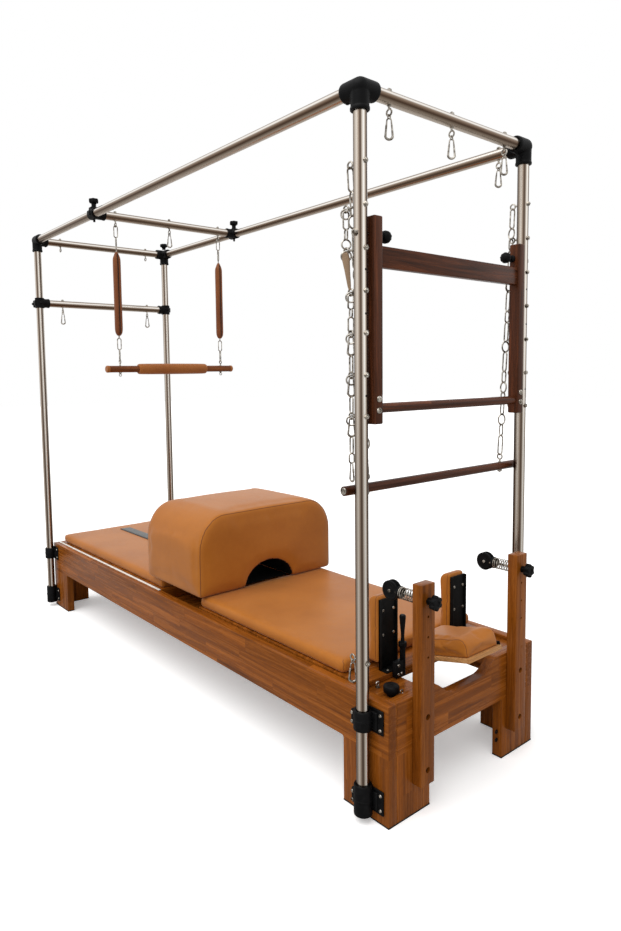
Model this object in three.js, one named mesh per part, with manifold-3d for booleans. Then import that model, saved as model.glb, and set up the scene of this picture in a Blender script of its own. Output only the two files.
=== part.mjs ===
// Pilates trapeze table: a wooden bed with a sliding carriage under a steel tube tower, with its trapeze,
// push-through bar, roll-down bar, arch box and foot mat.
// Millimetres. +X points to the head end, +Y to the far long side, +Z up, and the floor is z = 0.
import * as THREE from 'three';
import { mergeVertices } from 'three/addons/utils/BufferGeometryUtils.js';
import Module from 'manifold-3d';

const wasm = await Module();
wasm.setup();

// Driving dimensions
const BED_LENGTH = 2540;
const BED_WIDTH = 740;
const BED_HEIGHT = 360; // floor to the rail tops
const PANEL_THICKNESS = 36;
const LEG_WIDTH = 182;
const RAIL_DEPTH = 156;
const TOWER_HEIGHT = 2050; // floor to the centre lines of the top tubes
const TUBE_DIAMETER = 38;
const TUBE_WALL = 2;
const PAD_WIDTH = 664;
const PAD_RISE = 50; // rail tops to the tops of the pads
const PAD_TOP = BED_HEIGHT + PAD_RISE;
const SEAT_GAP = 0.3; // between pieces that touch
const SLIDE_GAP = 3; // between pieces that slide past each other
const OVERRUN = 5; // how far a cut runs past the material
const FUSE = 1; // how far joined solids run into each other

// Facets
const TUBE_SIDES = 12;
const ROUND_SIDES = 12;
const BORE_SIDES = 8;
const SMALL_SIDES = 6;
const RING_STEPS = 8;
const LINK_STEPS = 6;
const LINK_SIDES = 4;
const WIRE_SIDES = 5;
const CURVE_STEPS = 4;

const TUBE_RADIUS = TUBE_DIAMETER / 2;
const EAST = new THREE.Vector3(1, 0, 0);
const NORTH = new THREE.Vector3(0, 1, 0);
const UP = new THREE.Vector3(0, 0, 1);
const ORIGIN = new THREE.Vector3();
const SIDES = { near: -1, far: 1 };

// Solids from three.js geometries

function toSolid(geometry, matrix = new THREE.Matrix4(), bend = null) {
  geometry.deleteAttribute('normal');
  geometry.deleteAttribute('uv');
  const merged = mergeVertices(geometry);
  if (bend) bend(merged.attributes.position);
  merged.applyMatrix4(matrix);
  const kept = [];
  const index = merged.index.array;
  for (let i = 0; i < index.length; i += 3) {
    const [a, b, c] = [index[i], index[i + 1], index[i + 2]];
    if (a !== b && b !== c && c !== a) kept.push(a, b, c);
  }
  return new wasm.Manifold(new wasm.Mesh({
    numProp: 3,
    vertProperties: new Float32Array(merged.attributes.position.array),
    triVerts: new Uint32Array(kept),
  }));
}

function join(...solids) {
  return solids.reduce((whole, added) => whole.add(added));
}

function cut(solid, ...tools) {
  return tools.reduce((whole, tool) => whole.subtract(tool), solid);
}

function at(x, y, z) {
  return new THREE.Vector3(x, y, z);
}

// A box between two values on each axis.
function block([x0, x1], [y0, y1], [z0, z1]) {
  const geometry = new THREE.BoxGeometry(x1 - x0, y1 - y0, z1 - z0);
  return toSolid(geometry, new THREE.Matrix4().makeTranslation((x0 + x1) / 2, (y0 + y1) / 2, (z0 + z1) / 2));
}

// A straight round bar, or a cone where the end radius differs.
function rod(from, to, radius, sides = ROUND_SIDES, endRadius = radius) {
  const run = new THREE.Vector3().subVectors(to, from);
  const geometry = new THREE.CylinderGeometry(endRadius, radius, run.length(), sides);
  const turn = new THREE.Quaternion().setFromUnitVectors(NORTH, run.clone().normalize());
  const middle = from.clone().lerp(to, 0.5);
  return toSolid(geometry, new THREE.Matrix4().compose(middle, turn, at(1, 1, 1)));
}

function tube(from, to, radius, wall, sides = TUBE_SIDES) {
  const run = new THREE.Vector3().subVectors(to, from).setLength(OVERRUN);
  const bore = rod(from.clone().sub(run), to.clone().add(run), radius - wall, sides);
  return cut(rod(from, to, radius, sides), bore);
}

// A profile of [radius, height] points turned round the line from base along direction.
function turned(profile, base, direction, sides = ROUND_SIDES) {
  const geometry = new THREE.LatheGeometry(profile.map(([r, h]) => new THREE.Vector2(r, h)), sides);
  const turn = new THREE.Quaternion().setFromUnitVectors(NORTH, direction);
  return toSolid(geometry, new THREE.Matrix4().compose(base, turn, at(1, 1, 1)));
}

// A closed outline whose corners [a, b, radius] are rounded where a radius is given.
function outline(corners) {
  const shape = new THREE.Shape();
  corners.forEach(([a, b, radius = 0], i) => {
    const corner = new THREE.Vector2(a, b);
    const [lastA, lastB] = corners[(i + corners.length - 1) % corners.length];
    const [nextA, nextB] = corners[(i + 1) % corners.length];
    const back = new THREE.Vector2(lastA, lastB).sub(corner).setLength(radius).add(corner);
    const ahead = new THREE.Vector2(nextA, nextB).sub(corner).setLength(radius).add(corner);
    if (i === 0) shape.moveTo(back.x, back.y);
    else shape.lineTo(back.x, back.y);
    if (radius > 0) shape.quadraticCurveTo(corner.x, corner.y, ahead.x, ahead.y);
  });
  shape.closePath();
  return shape;
}

// A shape drawn in the plane across an axis and run along it: across X it is drawn in (Y, Z), across Y in
// (X, Z), and across Z in (X, Y).
function prism(shape, axis, [from, to], bevel = 0) {
  const depth = to - from;
  const geometry = new THREE.ExtrudeGeometry(shape, {
    depth: depth - 2 * bevel,
    bevelEnabled: bevel > 0,
    bevelSize: bevel,
    bevelThickness: bevel,
    bevelOffset: -bevel,
    bevelSegments: 1,
    curveSegments: CURVE_STEPS,
  });
  const frames = {
    x: new THREE.Matrix4().makeBasis(NORTH, UP, EAST).setPosition(from + bevel, 0, 0),
    y: new THREE.Matrix4().makeBasis(EAST, UP, at(0, -1, 0)).setPosition(0, to - bevel, 0),
    z: new THREE.Matrix4().makeTranslation(0, 0, from + bevel),
  };
  return toSolid(geometry, frames[axis]);
}

// A ring of wire, or with a stretch a long link, whose plane holds the direction along.
function link(centre, along, normal, radius, wire, stretch = 0) {
  const steps = stretch > 0 ? LINK_STEPS : RING_STEPS;
  const geometry = new THREE.TorusGeometry(radius, wire, LINK_SIDES, steps);
  geometry.rotateZ(Math.PI / steps);
  const across = new THREE.Vector3().crossVectors(along, normal);
  const matrix = new THREE.Matrix4().makeBasis(across, along, normal).setPosition(centre);
  return toSolid(geometry, matrix, (places) => {
    for (let i = 0; i < places.count; i += 1) {
      places.setY(i, places.getY(i) + Math.sign(places.getY(i)) * stretch / 2);
    }
  });
}

// One unbroken tube of round wire through a list of points.
function wire(points, radius, sides = WIRE_SIDES) {
  const places = [];
  const faces = [];
  const normal = at(0, 0, 0);
  points.forEach((point, i) => {
    const before = points[Math.max(i - 1, 0)];
    const after = points[Math.min(i + 1, points.length - 1)];
    const tangent = new THREE.Vector3().subVectors(after, before).normalize();
    if (i === 0) normal.crossVectors(tangent, Math.abs(tangent.z) < 0.9 ? UP : EAST);
    normal.addScaledVector(tangent, -normal.dot(tangent)).normalize();
    const side = new THREE.Vector3().crossVectors(tangent, normal);
    for (let k = 0; k < sides; k += 1) {
      const angle = 2 * Math.PI * k / sides;
      const corner = point.clone().addScaledVector(normal, radius * Math.cos(angle));
      places.push(...corner.addScaledVector(side, radius * Math.sin(angle)).toArray());
    }
    for (let k = 0; k < sides && i > 0; k += 1) {
      const [a, b] = [(i - 1) * sides + k, (i - 1) * sides + (k + 1) % sides];
      faces.push(a, b, a + sides, b, b + sides, a + sides);
    }
  });
  const last = (points.length - 1) * sides;
  for (let k = 1; k < sides - 1; k += 1) faces.push(0, k + 1, k, last, last + k, last + k + 1);
  const geometry = new THREE.BufferGeometry();
  geometry.setAttribute('position', new THREE.Float32BufferAttribute(places, 3));
  geometry.setIndex(faces);
  return toSolid(geometry);
}

// A coil spring's centre line from the origin up +Z: each end runs straight for one wire diameter.
const CURL_STEPS = 8;

function coilPath(length, coilRadius, wireRadius, curls) {
  const points = [at(coilRadius, 0, 0)];
  const lead = 2 * wireRadius;
  for (let i = 0; i <= curls * CURL_STEPS; i += 1) {
    const angle = 2 * Math.PI * i / CURL_STEPS;
    const rise = (length - 2 * lead) * i / (curls * CURL_STEPS);
    points.push(at(coilRadius * Math.cos(angle), coilRadius * Math.sin(angle), lead + rise));
  }
  points.push(at(coilRadius, 0, length));
  return points;
}

function reportLeastGap(name, points, wireRadius) {
  let least = Infinity;
  points.forEach((point, i) => {
    points.slice(i + CURL_STEPS - 2).forEach((other) => {
      least = Math.min(least, point.distanceTo(other) - 2 * wireRadius);
    });
  });
  console.log(`${name}: least gap between curls ${least.toFixed(2)} mm`);
}

// An upholstered pad: round edges, a crowned top, and sides drawn in between the corners. The faces of its
// box share their edges' bends, so the outer two steps of each face make half a bend.
const PAD_STEPS = { long: 6, wide: 6, deep: 4 };

function pad([x0, x1], [y0, y1], [z0, z1], edge, crown, drawIn, matrix = new THREE.Matrix4()) {
  const half = at((x1 - x0) / 2, (y1 - y0) / 2, (z1 - z0) / 2);
  const steps = [PAD_STEPS.long, PAD_STEPS.wide, PAD_STEPS.deep];
  const geometry = new THREE.BoxGeometry(2, 2, 2, ...steps);
  const inner = half.clone().subScalar(edge);
  const spread = (value, axis) => {
    const step = 2 / steps[axis];
    const outer = 1 - Math.abs(value);
    const size = half.getComponent(axis);
    const core = inner.getComponent(axis);
    if (outer < step * 0.5) return Math.sign(value) * size;
    if (outer < step * 1.5) return Math.sign(value) * (core + edge * 0.5);
    return 2 * step < 1 ? value / (1 - 2 * step) * core : 0;
  };
  const bend = (places) => {
    for (let i = 0; i < places.count; i += 1) {
      const raw = new THREE.Vector3().fromBufferAttribute(places, i);
      const point = at(spread(raw.x, 0), spread(raw.y, 1), spread(raw.z, 2));
      const core = point.clone().clamp(inner.clone().negate(), inner);
      const out = point.clone().sub(core);
      if (out.length() > 0) point.copy(core).add(out.setLength(edge));
      const shareX = 1 - (point.x / half.x) ** 2;
      const shareY = 1 - (point.y / half.y) ** 2;
      point.z += point.z > 0 ? crown * (shareX * shareY - 1) : 0;
      point.x -= Math.sign(point.x) * drawIn * shareY * (Math.abs(point.x) / half.x);
      point.y -= Math.sign(point.y) * drawIn * shareX * (Math.abs(point.y) / half.y);
      places.setXYZ(i, point.x, point.y, point.z);
    }
  };
  const middle = new THREE.Matrix4().makeTranslation((x0 + x1) / 2, (y0 + y1) / 2, (z0 + z1) / 2);
  return toSolid(geometry, matrix.clone().multiply(middle), bend);
}

const finishes = {
  oak: new THREE.MeshStandardMaterial({ color: 0x8a4a22, roughness: 0.35, metalness: 0 }),
  walnut: new THREE.MeshStandardMaterial({ color: 0x3a1d12, roughness: 0.4, metalness: 0 }),
  ply: new THREE.MeshStandardMaterial({ color: 0xc99a66, roughness: 0.6, metalness: 0 }),
  steel: new THREE.MeshStandardMaterial({ color: 0xa79c90, roughness: 0.3, metalness: 1 }),
  black: new THREE.MeshStandardMaterial({ color: 0x101010, roughness: 0.5, metalness: 0 }),
  leather: new THREE.MeshStandardMaterial({ color: 0xb5733a, roughness: 0.5, metalness: 0 }),
  brown: new THREE.MeshStandardMaterial({ color: 0x6e3a1c, roughness: 0.5, metalness: 0 }),
  webbing: new THREE.MeshStandardMaterial({ color: 0x6f716f, roughness: 0.8, metalness: 0 }),
};

const table = new THREE.Group();

function assembly(parent = table) {
  const group = new THREE.Group();
  parent.add(group);
  return group;
}

function piece(group, name, solid, finish) {
  const { vertProperties, triVerts } = solid.getMesh();
  const geometry = new THREE.BufferGeometry();
  geometry.setAttribute('position', new THREE.Float32BufferAttribute(vertProperties, 3));
  geometry.setIndex(Array.from(triVerts));
  const mesh = new THREE.Mesh(geometry, finishes[finish]);
  mesh.name = name;
  group.add(mesh);
}

// Bed frame
const HALF_LENGTH = BED_LENGTH / 2;
const HALF_WIDTH = BED_WIDTH / 2;
const RAIL_BOTTOM = BED_HEIGHT - RAIL_DEPTH;
const LEG_FILLET = 8;
const EDGE_ROUND = 3;
const LEDGE_WIDTH = 32;
const LEDGE_DEPTH = 28;
const LEDGE_DROP = 48; // rail top to ledge top
const LEDGE_TOP = BED_HEIGHT - LEDGE_DROP;
const INNER_HALF = HALF_WIDTH - PANEL_THICKNESS;
const PANEL_INNER_X = HALF_LENGTH - PANEL_THICKNESS;

// The near or far side panel: a rail with a leg portion at each end, and the carriage's ledge inside.
function sidePanel(side) {
  const legX = HALF_LENGTH - LEG_WIDTH;
  const shape = outline([
    [-HALF_LENGTH, 0], [-legX, 0], [-legX, RAIL_BOTTOM, LEG_FILLET],
    [legX, RAIL_BOTTOM, LEG_FILLET], [legX, 0], [HALF_LENGTH, 0],
    [HALF_LENGTH, BED_HEIGHT, EDGE_ROUND], [-HALF_LENGTH, BED_HEIGHT, EDGE_ROUND],
  ]);
  const faces = [side * INNER_HALF, side * HALF_WIDTH].sort((a, b) => a - b);
  const ledge = [side * (INNER_HALF - LEDGE_WIDTH), side * (INNER_HALF + EDGE_ROUND)].sort((a, b) => a - b);
  const ledgeX = PANEL_INNER_X - SEAT_GAP;
  return join(
    prism(shape, 'y', faces),
    block([-ledgeX, ledgeX], ledge, [LEDGE_TOP - LEDGE_DEPTH, LEDGE_TOP]),
  );
}

const CUT_TOP_HALF = 150;
const CUT_BOTTOM_HALF = 92;
const CUT_DEPTH = 44;
const CUT_ROUND = 26;
const CUT_LIP = 9;

// An end panel fits between the side panels, with its own leg portions. The head end's has a U cut-out.
function endPanel(end, hasCutOut) {
  const edge = INNER_HALF - SEAT_GAP;
  const legY = HALF_WIDTH - LEG_WIDTH;
  const cutOut = hasCutOut ? [
    [CUT_TOP_HALF, BED_HEIGHT, CUT_LIP], [CUT_BOTTOM_HALF, BED_HEIGHT - CUT_DEPTH, CUT_ROUND],
    [-CUT_BOTTOM_HALF, BED_HEIGHT - CUT_DEPTH, CUT_ROUND], [-CUT_TOP_HALF, BED_HEIGHT, CUT_LIP],
  ] : [];
  const shape = outline([
    [-edge, 0], [-legY, 0], [-legY, RAIL_BOTTOM, LEG_FILLET], [legY, RAIL_BOTTOM, LEG_FILLET], [legY, 0],
    [edge, 0], [edge, BED_HEIGHT], ...cutOut, [-edge, BED_HEIGHT],
  ]);
  const faces = [end * PANEL_INNER_X, end * HALF_LENGTH].sort((a, b) => a - b);
  return prism(shape, 'x', faces);
}

const DECK_DROP = 15; // rail top to deck top
const DECK_TOP = BED_HEIGHT - DECK_DROP;
const DECK_LENGTH = 176;
const DECK_STRIP = 40;
const DECK_CORNER_WIDTH = 165;
const DECK_KNOB_RADIUS = 17;
const DECK_KNOB_HEIGHT = 34;
const DECK_KNOB_INSET = { fromEnd: 62, fromSide: 88 };

// The head deck fills both head corners and leaves the middle open.
function headDeck() {
  const edge = INNER_HALF - SEAT_GAP;
  const head = PANEL_INNER_X - SEAT_GAP;
  const foot = head - DECK_LENGTH;
  const corner = edge - DECK_CORNER_WIDTH;
  const shape = outline([
    [foot, -edge], [head, -edge], [head, -corner], [foot + DECK_STRIP, -corner, LEG_FILLET],
    [foot + DECK_STRIP, corner, LEG_FILLET], [head, corner], [head, edge], [foot, edge],
  ]);
  const knobX = head - DECK_KNOB_INSET.fromEnd;
  const knobY = -(edge - DECK_KNOB_INSET.fromSide);
  const knob = turned([
    [0, -OVERRUN], [DECK_KNOB_RADIUS, -OVERRUN], [DECK_KNOB_RADIUS, DECK_KNOB_HEIGHT - EDGE_ROUND],
    [DECK_KNOB_RADIUS - EDGE_ROUND, DECK_KNOB_HEIGHT], [0, DECK_KNOB_HEIGHT],
  ], at(knobX, knobY, DECK_TOP), UP);
  return join(prism(shape, 'z', [LEDGE_TOP + SEAT_GAP, DECK_TOP]), knob);
}

const bed = assembly();
for (const [name, side] of Object.entries(SIDES)) piece(bed, `side_panel_${name}`, sidePanel(side), 'oak');
piece(bed, 'head_panel', endPanel(1, true), 'oak');
piece(bed, 'foot_panel', endPanel(-1, false), 'oak');
piece(bed, 'head_deck', headDeck(), 'oak');

// Pulley risers on the head panel
const RISER_Y = 240;
const RISER_WIDTH = 60;
const RISER_DEPTH = 34;
const RISER_HANG = 106; // rail's lower edge to the riser's foot
const RISER_STAND = 335; // rail top to the riser's top
const RISER_BOTTOM = RAIL_BOTTOM - RISER_HANG;
const RISER_TOP = BED_HEIGHT + RISER_STAND;
const RISER_BACK = HALF_LENGTH + SEAT_GAP;
const RISER_FACE = RISER_BACK + RISER_DEPTH;
const HOLE_RADIUS = 4;
const HOLE_STEP = 60;
const HOLE_COUNT = 3;
const HOLE_LEAD = 46; // shank to the first spare hole
const BOLT_INSET = 45; // riser foot to the lower bolt
const BOLT_STEP = 160;
const COUNTERBORE_RADIUS = 9;
const COUNTERBORE_DEPTH = 12;
const SHANK_RADIUS = 5;
const SHANK_DROP = 49; // riser top to the shank
const SHANK_Z = RISER_TOP - SHANK_DROP;

function riser(side) {
  const y = side * RISER_Y;
  const half = RISER_WIDTH / 2;
  const shape = outline([
    [y - half, RISER_BOTTOM, EDGE_ROUND], [y + half, RISER_BOTTOM, EDGE_ROUND],
    [y + half, RISER_TOP, EDGE_ROUND], [y - half, RISER_TOP, EDGE_ROUND],
  ]);
  const cuts = [];
  const bore = (z, radius, from, sides = BORE_SIDES) => {
    cuts.push(rod(at(from, y, z), at(RISER_FACE + OVERRUN, y, z), radius, sides));
  };
  bore(SHANK_Z, SHANK_RADIUS + SEAT_GAP, RISER_BACK - OVERRUN, ROUND_SIDES);
  for (let i = 0; i < HOLE_COUNT; i += 1) {
    bore(SHANK_Z - HOLE_LEAD - i * HOLE_STEP, HOLE_RADIUS, RISER_BACK - OVERRUN);
  }
  for (let i = 0; i < 2; i += 1) {
    bore(RISER_BOTTOM + BOLT_INSET + i * BOLT_STEP, COUNTERBORE_RADIUS, RISER_FACE - COUNTERBORE_DEPTH);
  }
  return cut(prism(shape, 'x', [RISER_BACK, RISER_FACE]), ...cuts);
}

// The pulley: two cheeks round a sheave, on a shank that runs through the riser to a hand knob.
const CHEEK_RADIUS = 30;
const CHEEK_THICKNESS = 5;
const SHEAVE_WIDTH = 12;
const SHEAVE_RADIUS = 25;
const SHEAVE_GROOVE = 6;
const AXLE_RADIUS = 6;
const PULLEY_REACH = 102; // head panel face to the pulley's axle
const YOKE_RADIUS = 11;
const KNOB_RADIUS = 20;
const KNOB_LENGTH = 20;
const KNOB_NECK_RADIUS = 11;
const KNOB_NECK = 14;

function handKnob(base, direction) {
  return turned([
    [0, 0], [KNOB_NECK_RADIUS, 0], [KNOB_NECK_RADIUS, KNOB_NECK], [KNOB_RADIUS, KNOB_NECK + EDGE_ROUND],
    [KNOB_RADIUS - EDGE_ROUND, KNOB_NECK + KNOB_LENGTH], [0, KNOB_NECK + KNOB_LENGTH],
  ], base, direction, ROUND_SIDES);
}

function pulley(side) {
  const y = side * RISER_Y;
  const centre = at(HALF_LENGTH - PULLEY_REACH, y, SHANK_Z);
  const half = SHEAVE_WIDTH / 2 + CHEEK_THICKNESS;
  const on = (distance) => centre.clone().addScaledVector(NORTH, distance);
  const span = (from, to, radius, endRadius = radius, sides = TUBE_SIDES) => (
    rod(on(from), on(to), radius, sides, endRadius)
  );
  const rim = SHEAVE_WIDTH / 2;
  const yoke = at(centre.x + CHEEK_RADIUS, y, SHANK_Z);
  return join(
    span(-half, -rim, CHEEK_RADIUS),
    span(rim, half, CHEEK_RADIUS),
    span(-rim - EDGE_ROUND, rim + EDGE_ROUND, AXLE_RADIUS, AXLE_RADIUS, SMALL_SIDES),
    span(-rim + EDGE_ROUND, 0, SHEAVE_RADIUS, SHEAVE_RADIUS - SHEAVE_GROOVE),
    span(0, rim - EDGE_ROUND, SHEAVE_RADIUS - SHEAVE_GROOVE, SHEAVE_RADIUS),
    rod(at(yoke.x - YOKE_RADIUS, y, SHANK_Z), yoke, YOKE_RADIUS, BORE_SIDES),
    rod(yoke.clone().setX(yoke.x - EDGE_ROUND), at(RISER_FACE + KNOB_NECK, y, SHANK_Z), SHANK_RADIUS),
    handKnob(at(RISER_FACE + SEAT_GAP, y, SHANK_Z), EAST),
  );
}

const PULLEY_COIL_RADIUS = 17;
const PULLEY_WIRE_RADIUS = 1.8;
const PULLEY_CURLS = 6;

// The shank spring is held between the cheeks and the riser's back.
const springRun = [HALF_LENGTH - PULLEY_REACH + CHEEK_RADIUS + SEAT_GAP, RISER_BACK - SEAT_GAP];
const springLength = springRun[1] - springRun[0];
const pulleyCoil = coilPath(springLength, PULLEY_COIL_RADIUS, PULLEY_WIRE_RADIUS, PULLEY_CURLS);
reportLeastGap('pulley spring', pulleyCoil, PULLEY_WIRE_RADIUS);

function pulleySpring(side) {
  const frame = new THREE.Matrix4().makeBasis(NORTH, UP, EAST);
  frame.setPosition(springRun[0], side * RISER_Y, SHANK_Z);
  return wire(pulleyCoil.map((point) => point.clone().applyMatrix4(frame)), PULLEY_WIRE_RADIUS);
}

const risers = assembly();
for (const [name, side] of Object.entries(SIDES)) {
  piece(risers, `riser_${name}`, riser(side), 'oak');
  piece(risers, `pulley_${name}`, pulley(side), 'black');
  piece(risers, `pulley_spring_${name}`, pulleySpring(side), 'steel');
}

// Tower
const STANDOFF = 6; // side panel to tube
const TOWER_Y = HALF_WIDTH + STANDOFF + TUBE_RADIUS;
const HEAD_POST_INSET = 76; // panel end to the tube's centre
const FOOT_POST_INSET = 8;
const HEAD_X = HALF_LENGTH - HEAD_POST_INSET;
const FOOT_X = FOOT_POST_INSET - HALF_LENGTH;
const ELBOW_RADIUS = 25;
const ELBOW_BALL = 28;
const ELBOW_ARM = 60;
const ELBOW_STOP = 21;

// Eyebolts are seated in a tube's wall, with a nut on one side and an eye on the other.
const EYE_RADIUS = 9;
const EYE_WIRE = 2.6;
const EYE_NECK = 10;
const EYE_SHANK = 3.5;
const EYE_SINK = 1.8; // into the bar's wall
const NUT_RADIUS = 7;
const NUT_HEIGHT = 5;
const EYE_REACH = EYE_NECK + EYE_RADIUS;
const EYE_HOLE = (EYE_RADIUS - EYE_WIRE) * Math.cos(Math.PI / RING_STEPS);

function eyebolt(axisPoint, direction, normal, barRadius = TUBE_RADIUS) {
  const eye = axisPoint.clone().addScaledVector(direction, barRadius + EYE_REACH);
  const tip = axisPoint.clone().addScaledVector(direction, barRadius + EYE_NECK);
  const neck = axisPoint.clone().addScaledVector(direction, barRadius - EYE_SINK);
  const seat = axisPoint.clone().addScaledVector(direction, EYE_SINK - barRadius);
  const nut = axisPoint.clone().addScaledVector(direction, -barRadius - NUT_HEIGHT);
  return [
    rod(neck, tip, EYE_SHANK, LINK_SIDES),
    rod(nut, seat, NUT_RADIUS, SMALL_SIDES),
    link(eye, direction, normal, EYE_RADIUS, EYE_WIRE),
  ];
}

// A snap hook hangs from an eye: its top bight is sunk a little into the eye's lower rim.
const HOOK_RADIUS = 8;
const HOOK_WIRE = 2.6;
const HOOK_STRETCH = 52;
const HOOK_LENGTH = HOOK_STRETCH + 2 * HOOK_RADIUS;

function snapHook(eye, normal) {
  const top = eye.z - EYE_RADIUS + EYE_WIRE + HOOK_WIRE - FUSE;
  return link(at(eye.x, eye.y, top - HOOK_LENGTH / 2), UP, normal, HOOK_RADIUS, HOOK_WIRE, HOOK_STRETCH);
}

// A corner elbow holds three tubes in three arms that meet in a ball.
function elbow(end, side) {
  const x = end > 0 ? HEAD_X : FOOT_X;
  const centre = at(x, side * TOWER_Y, TOWER_HEIGHT);
  const arms = [at(-end, 0, 0), at(0, -side, 0), at(0, 0, -1)];
  const solids = [toSolid(
    new THREE.SphereGeometry(ELBOW_BALL, ROUND_SIDES, SMALL_SIDES),
    new THREE.Matrix4().makeTranslation(centre),
  )];
  const bores = [];
  for (const arm of arms) {
    const along = (distance) => centre.clone().addScaledVector(arm, distance);
    solids.push(rod(centre, along(ELBOW_ARM), ELBOW_RADIUS, TUBE_SIDES));
    bores.push(rod(along(ELBOW_STOP), along(ELBOW_ARM + OVERRUN), TUBE_RADIUS + SEAT_GAP, TUBE_SIDES));
  }
  const crown = centre.clone().setZ(centre.z + ELBOW_RADIUS - EDGE_ROUND);
  if (end < 0 && side > 0) solids.push(handKnob(crown, UP));
  return cut(join(...solids), ...bores);
}

const TUBE_STOP = ELBOW_STOP + SEAT_GAP;
const SOCKET_BOTTOM = 22;
const SOCKET_HEIGHT = 92;
const SOCKET_FLOOR = 6;
const CLAMP_DROP = 54; // rail top to the rail clamps' middle
const CLAMP_Z = BED_HEIGHT - CLAMP_DROP;
const CLAMP_HEIGHT = 58;
const COLLAR_WALL = 8;
const FLANGE_REACH = 68; // tube centre to the flange's outer edge
const FLANGE_HEIGHT = 72;
const FLANGE_THICKNESS = 5.5;
const EAR_REACH = 34;
const EAR_THICKNESS = 20;
const EAR_HEIGHT = 44;
const SCREW_RADIUS = 5;
const SCREW_HEAD = 2.5;
const SCREW_RISE = 22; // flange middle to each screw
const COLLAR_RADIUS = TUBE_RADIUS + COLLAR_WALL;

// A flange clamp: a split collar with two bolted ears, and a plate screwed to the side panel.
function flangeClamp(x, side, bottom, top, floor) {
  const y = side * TOWER_Y;
  const middle = (bottom + top) / 2;
  const panelFace = side * (HALF_WIDTH + SEAT_GAP);
  const outerFace = side * (HALF_WIDTH + SEAT_GAP + FLANGE_THICKNESS);
  const sorted = (a, b) => [Math.min(a, b), Math.max(a, b)];
  const flange = block([x, x + FLANGE_REACH], sorted(panelFace, outerFace),
    [middle - FLANGE_HEIGHT / 2, middle + FLANGE_HEIGHT / 2]);
  const solids = [rod(at(x, y, bottom), at(x, y, top), COLLAR_RADIUS, TUBE_SIDES), flange];
  for (const rise of [-SCREW_RISE, SCREW_RISE]) {
    const z = middle + rise;
    const screwX = x + FLANGE_REACH - 2 * SCREW_RADIUS;
    const screw = at(screwX, (panelFace + outerFace) / 2, z);
    solids.push(rod(screw, screw.clone().setY(outerFace + side * SCREW_HEAD), SCREW_RADIUS, SMALL_SIDES));
  }
  solids.push(block([x - EAR_REACH, x], [y - EAR_THICKNESS / 2, y + EAR_THICKNESS / 2],
    [middle - EAR_HEIGHT / 2, middle + EAR_HEIGHT / 2]));
  const boreBottom = floor > 0 ? bottom + floor : bottom - OVERRUN;
  const bore = rod(at(x, y, boreBottom), at(x, y, top + OVERRUN), TUBE_RADIUS + SEAT_GAP, TUBE_SIDES);
  const beyond = sorted(panelFace, panelFace - side * (COLLAR_RADIUS + OVERRUN));
  const panel = block([x - 2 * COLLAR_RADIUS, x + 2 * FLANGE_REACH], beyond,
    [bottom - OVERRUN, top + OVERRUN]);
  return cut(join(...solids), bore, panel);
}

// Head uprights carry a row of eyebolts, and the push-through bar's pivot bolt goes through them.
const EYE_ROW_DROP = 191; // top tubes to the row's first eye
const EYE_ROW_TOP = TOWER_HEIGHT - EYE_ROW_DROP;
const EYE_ROW_STEP = 114;
const EYE_ROW_COUNT = 7;
const PIVOT_DROP = 378; // top tubes to the push-through bar's pivot
const PIVOT_Z = TOWER_HEIGHT - PIVOT_DROP;
const PIVOT_RADIUS = 5;
const PIVOT_BORE_RADIUS = 6;
const WEST = at(-1, 0, 0);
const eyeRow = Array.from({ length: EYE_ROW_COUNT }, (_, i) => EYE_ROW_TOP - i * EYE_ROW_STEP);
const ROLL_HANG_EYE = 0; // the row's eye that the roll-down bar hangs from
const HOOKED_EYES = { near: [3, 4, 5, 6], far: [] };

function upright(end, name) {
  const side = SIDES[name];
  const y = side * TOWER_Y;
  const x = end > 0 ? HEAD_X : FOOT_X;
  const foot = at(x, y, SOCKET_BOTTOM + SOCKET_FLOOR + SEAT_GAP);
  const post = tube(foot, at(x, y, TOWER_HEIGHT - TUBE_STOP), TUBE_RADIUS, TUBE_WALL);
  if (end < 0) return post;
  const trims = eyeRow.flatMap((z) => eyebolt(at(x, y, z), WEST, NORTH));
  const eyeX = x - TUBE_RADIUS - EYE_REACH;
  const hooks = HOOKED_EYES[name].map((i) => snapHook(at(eyeX, y, eyeRow[i]), EAST));
  const pivot = rod(at(x, y - COLLAR_RADIUS, PIVOT_Z), at(x, y + COLLAR_RADIUS, PIVOT_Z), PIVOT_BORE_RADIUS,
    BORE_SIDES);
  return cut(join(post, ...trims, ...hooks), pivot);
}

const CROSS_EYES = [-280, 0, 280];
const FOOT_EYES = [-265, 265];
const FAR_TUBE_EYE_INSET = 96; // head upright to the eye on the far top tube
const DOWN = at(0, 0, -1);

// A tube across the tower with eyebolts and snap hooks under it.
function crossTube(x, z, stop, eyes, hooked) {
  const body = tube(at(x, -stop, z), at(x, stop, z), TUBE_RADIUS, TUBE_WALL);
  const trims = eyes.flatMap((y) => eyebolt(at(x, y, z), DOWN, NORTH));
  const eyeZ = z - TUBE_RADIUS - EYE_REACH;
  return join(body, ...trims, ...hooked.map((y) => snapHook(at(x, y, eyeZ), EAST)));
}

function topTube(side) {
  const ends = [FOOT_X + TUBE_STOP, HEAD_X - TUBE_STOP];
  const y = side * TOWER_Y;
  const body = tube(at(ends[0], y, TOWER_HEIGHT), at(ends[1], y, TOWER_HEIGHT), TUBE_RADIUS, TUBE_WALL);
  if (side < 0) return body;
  const eyeX = HEAD_X - FAR_TUBE_EYE_INSET;
  const eye = at(eyeX, y, TOWER_HEIGHT - TUBE_RADIUS - EYE_REACH);
  return join(body, ...eyebolt(at(eyeX, y, TOWER_HEIGHT), DOWN, NORTH), snapHook(eye, EAST));
}

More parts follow.
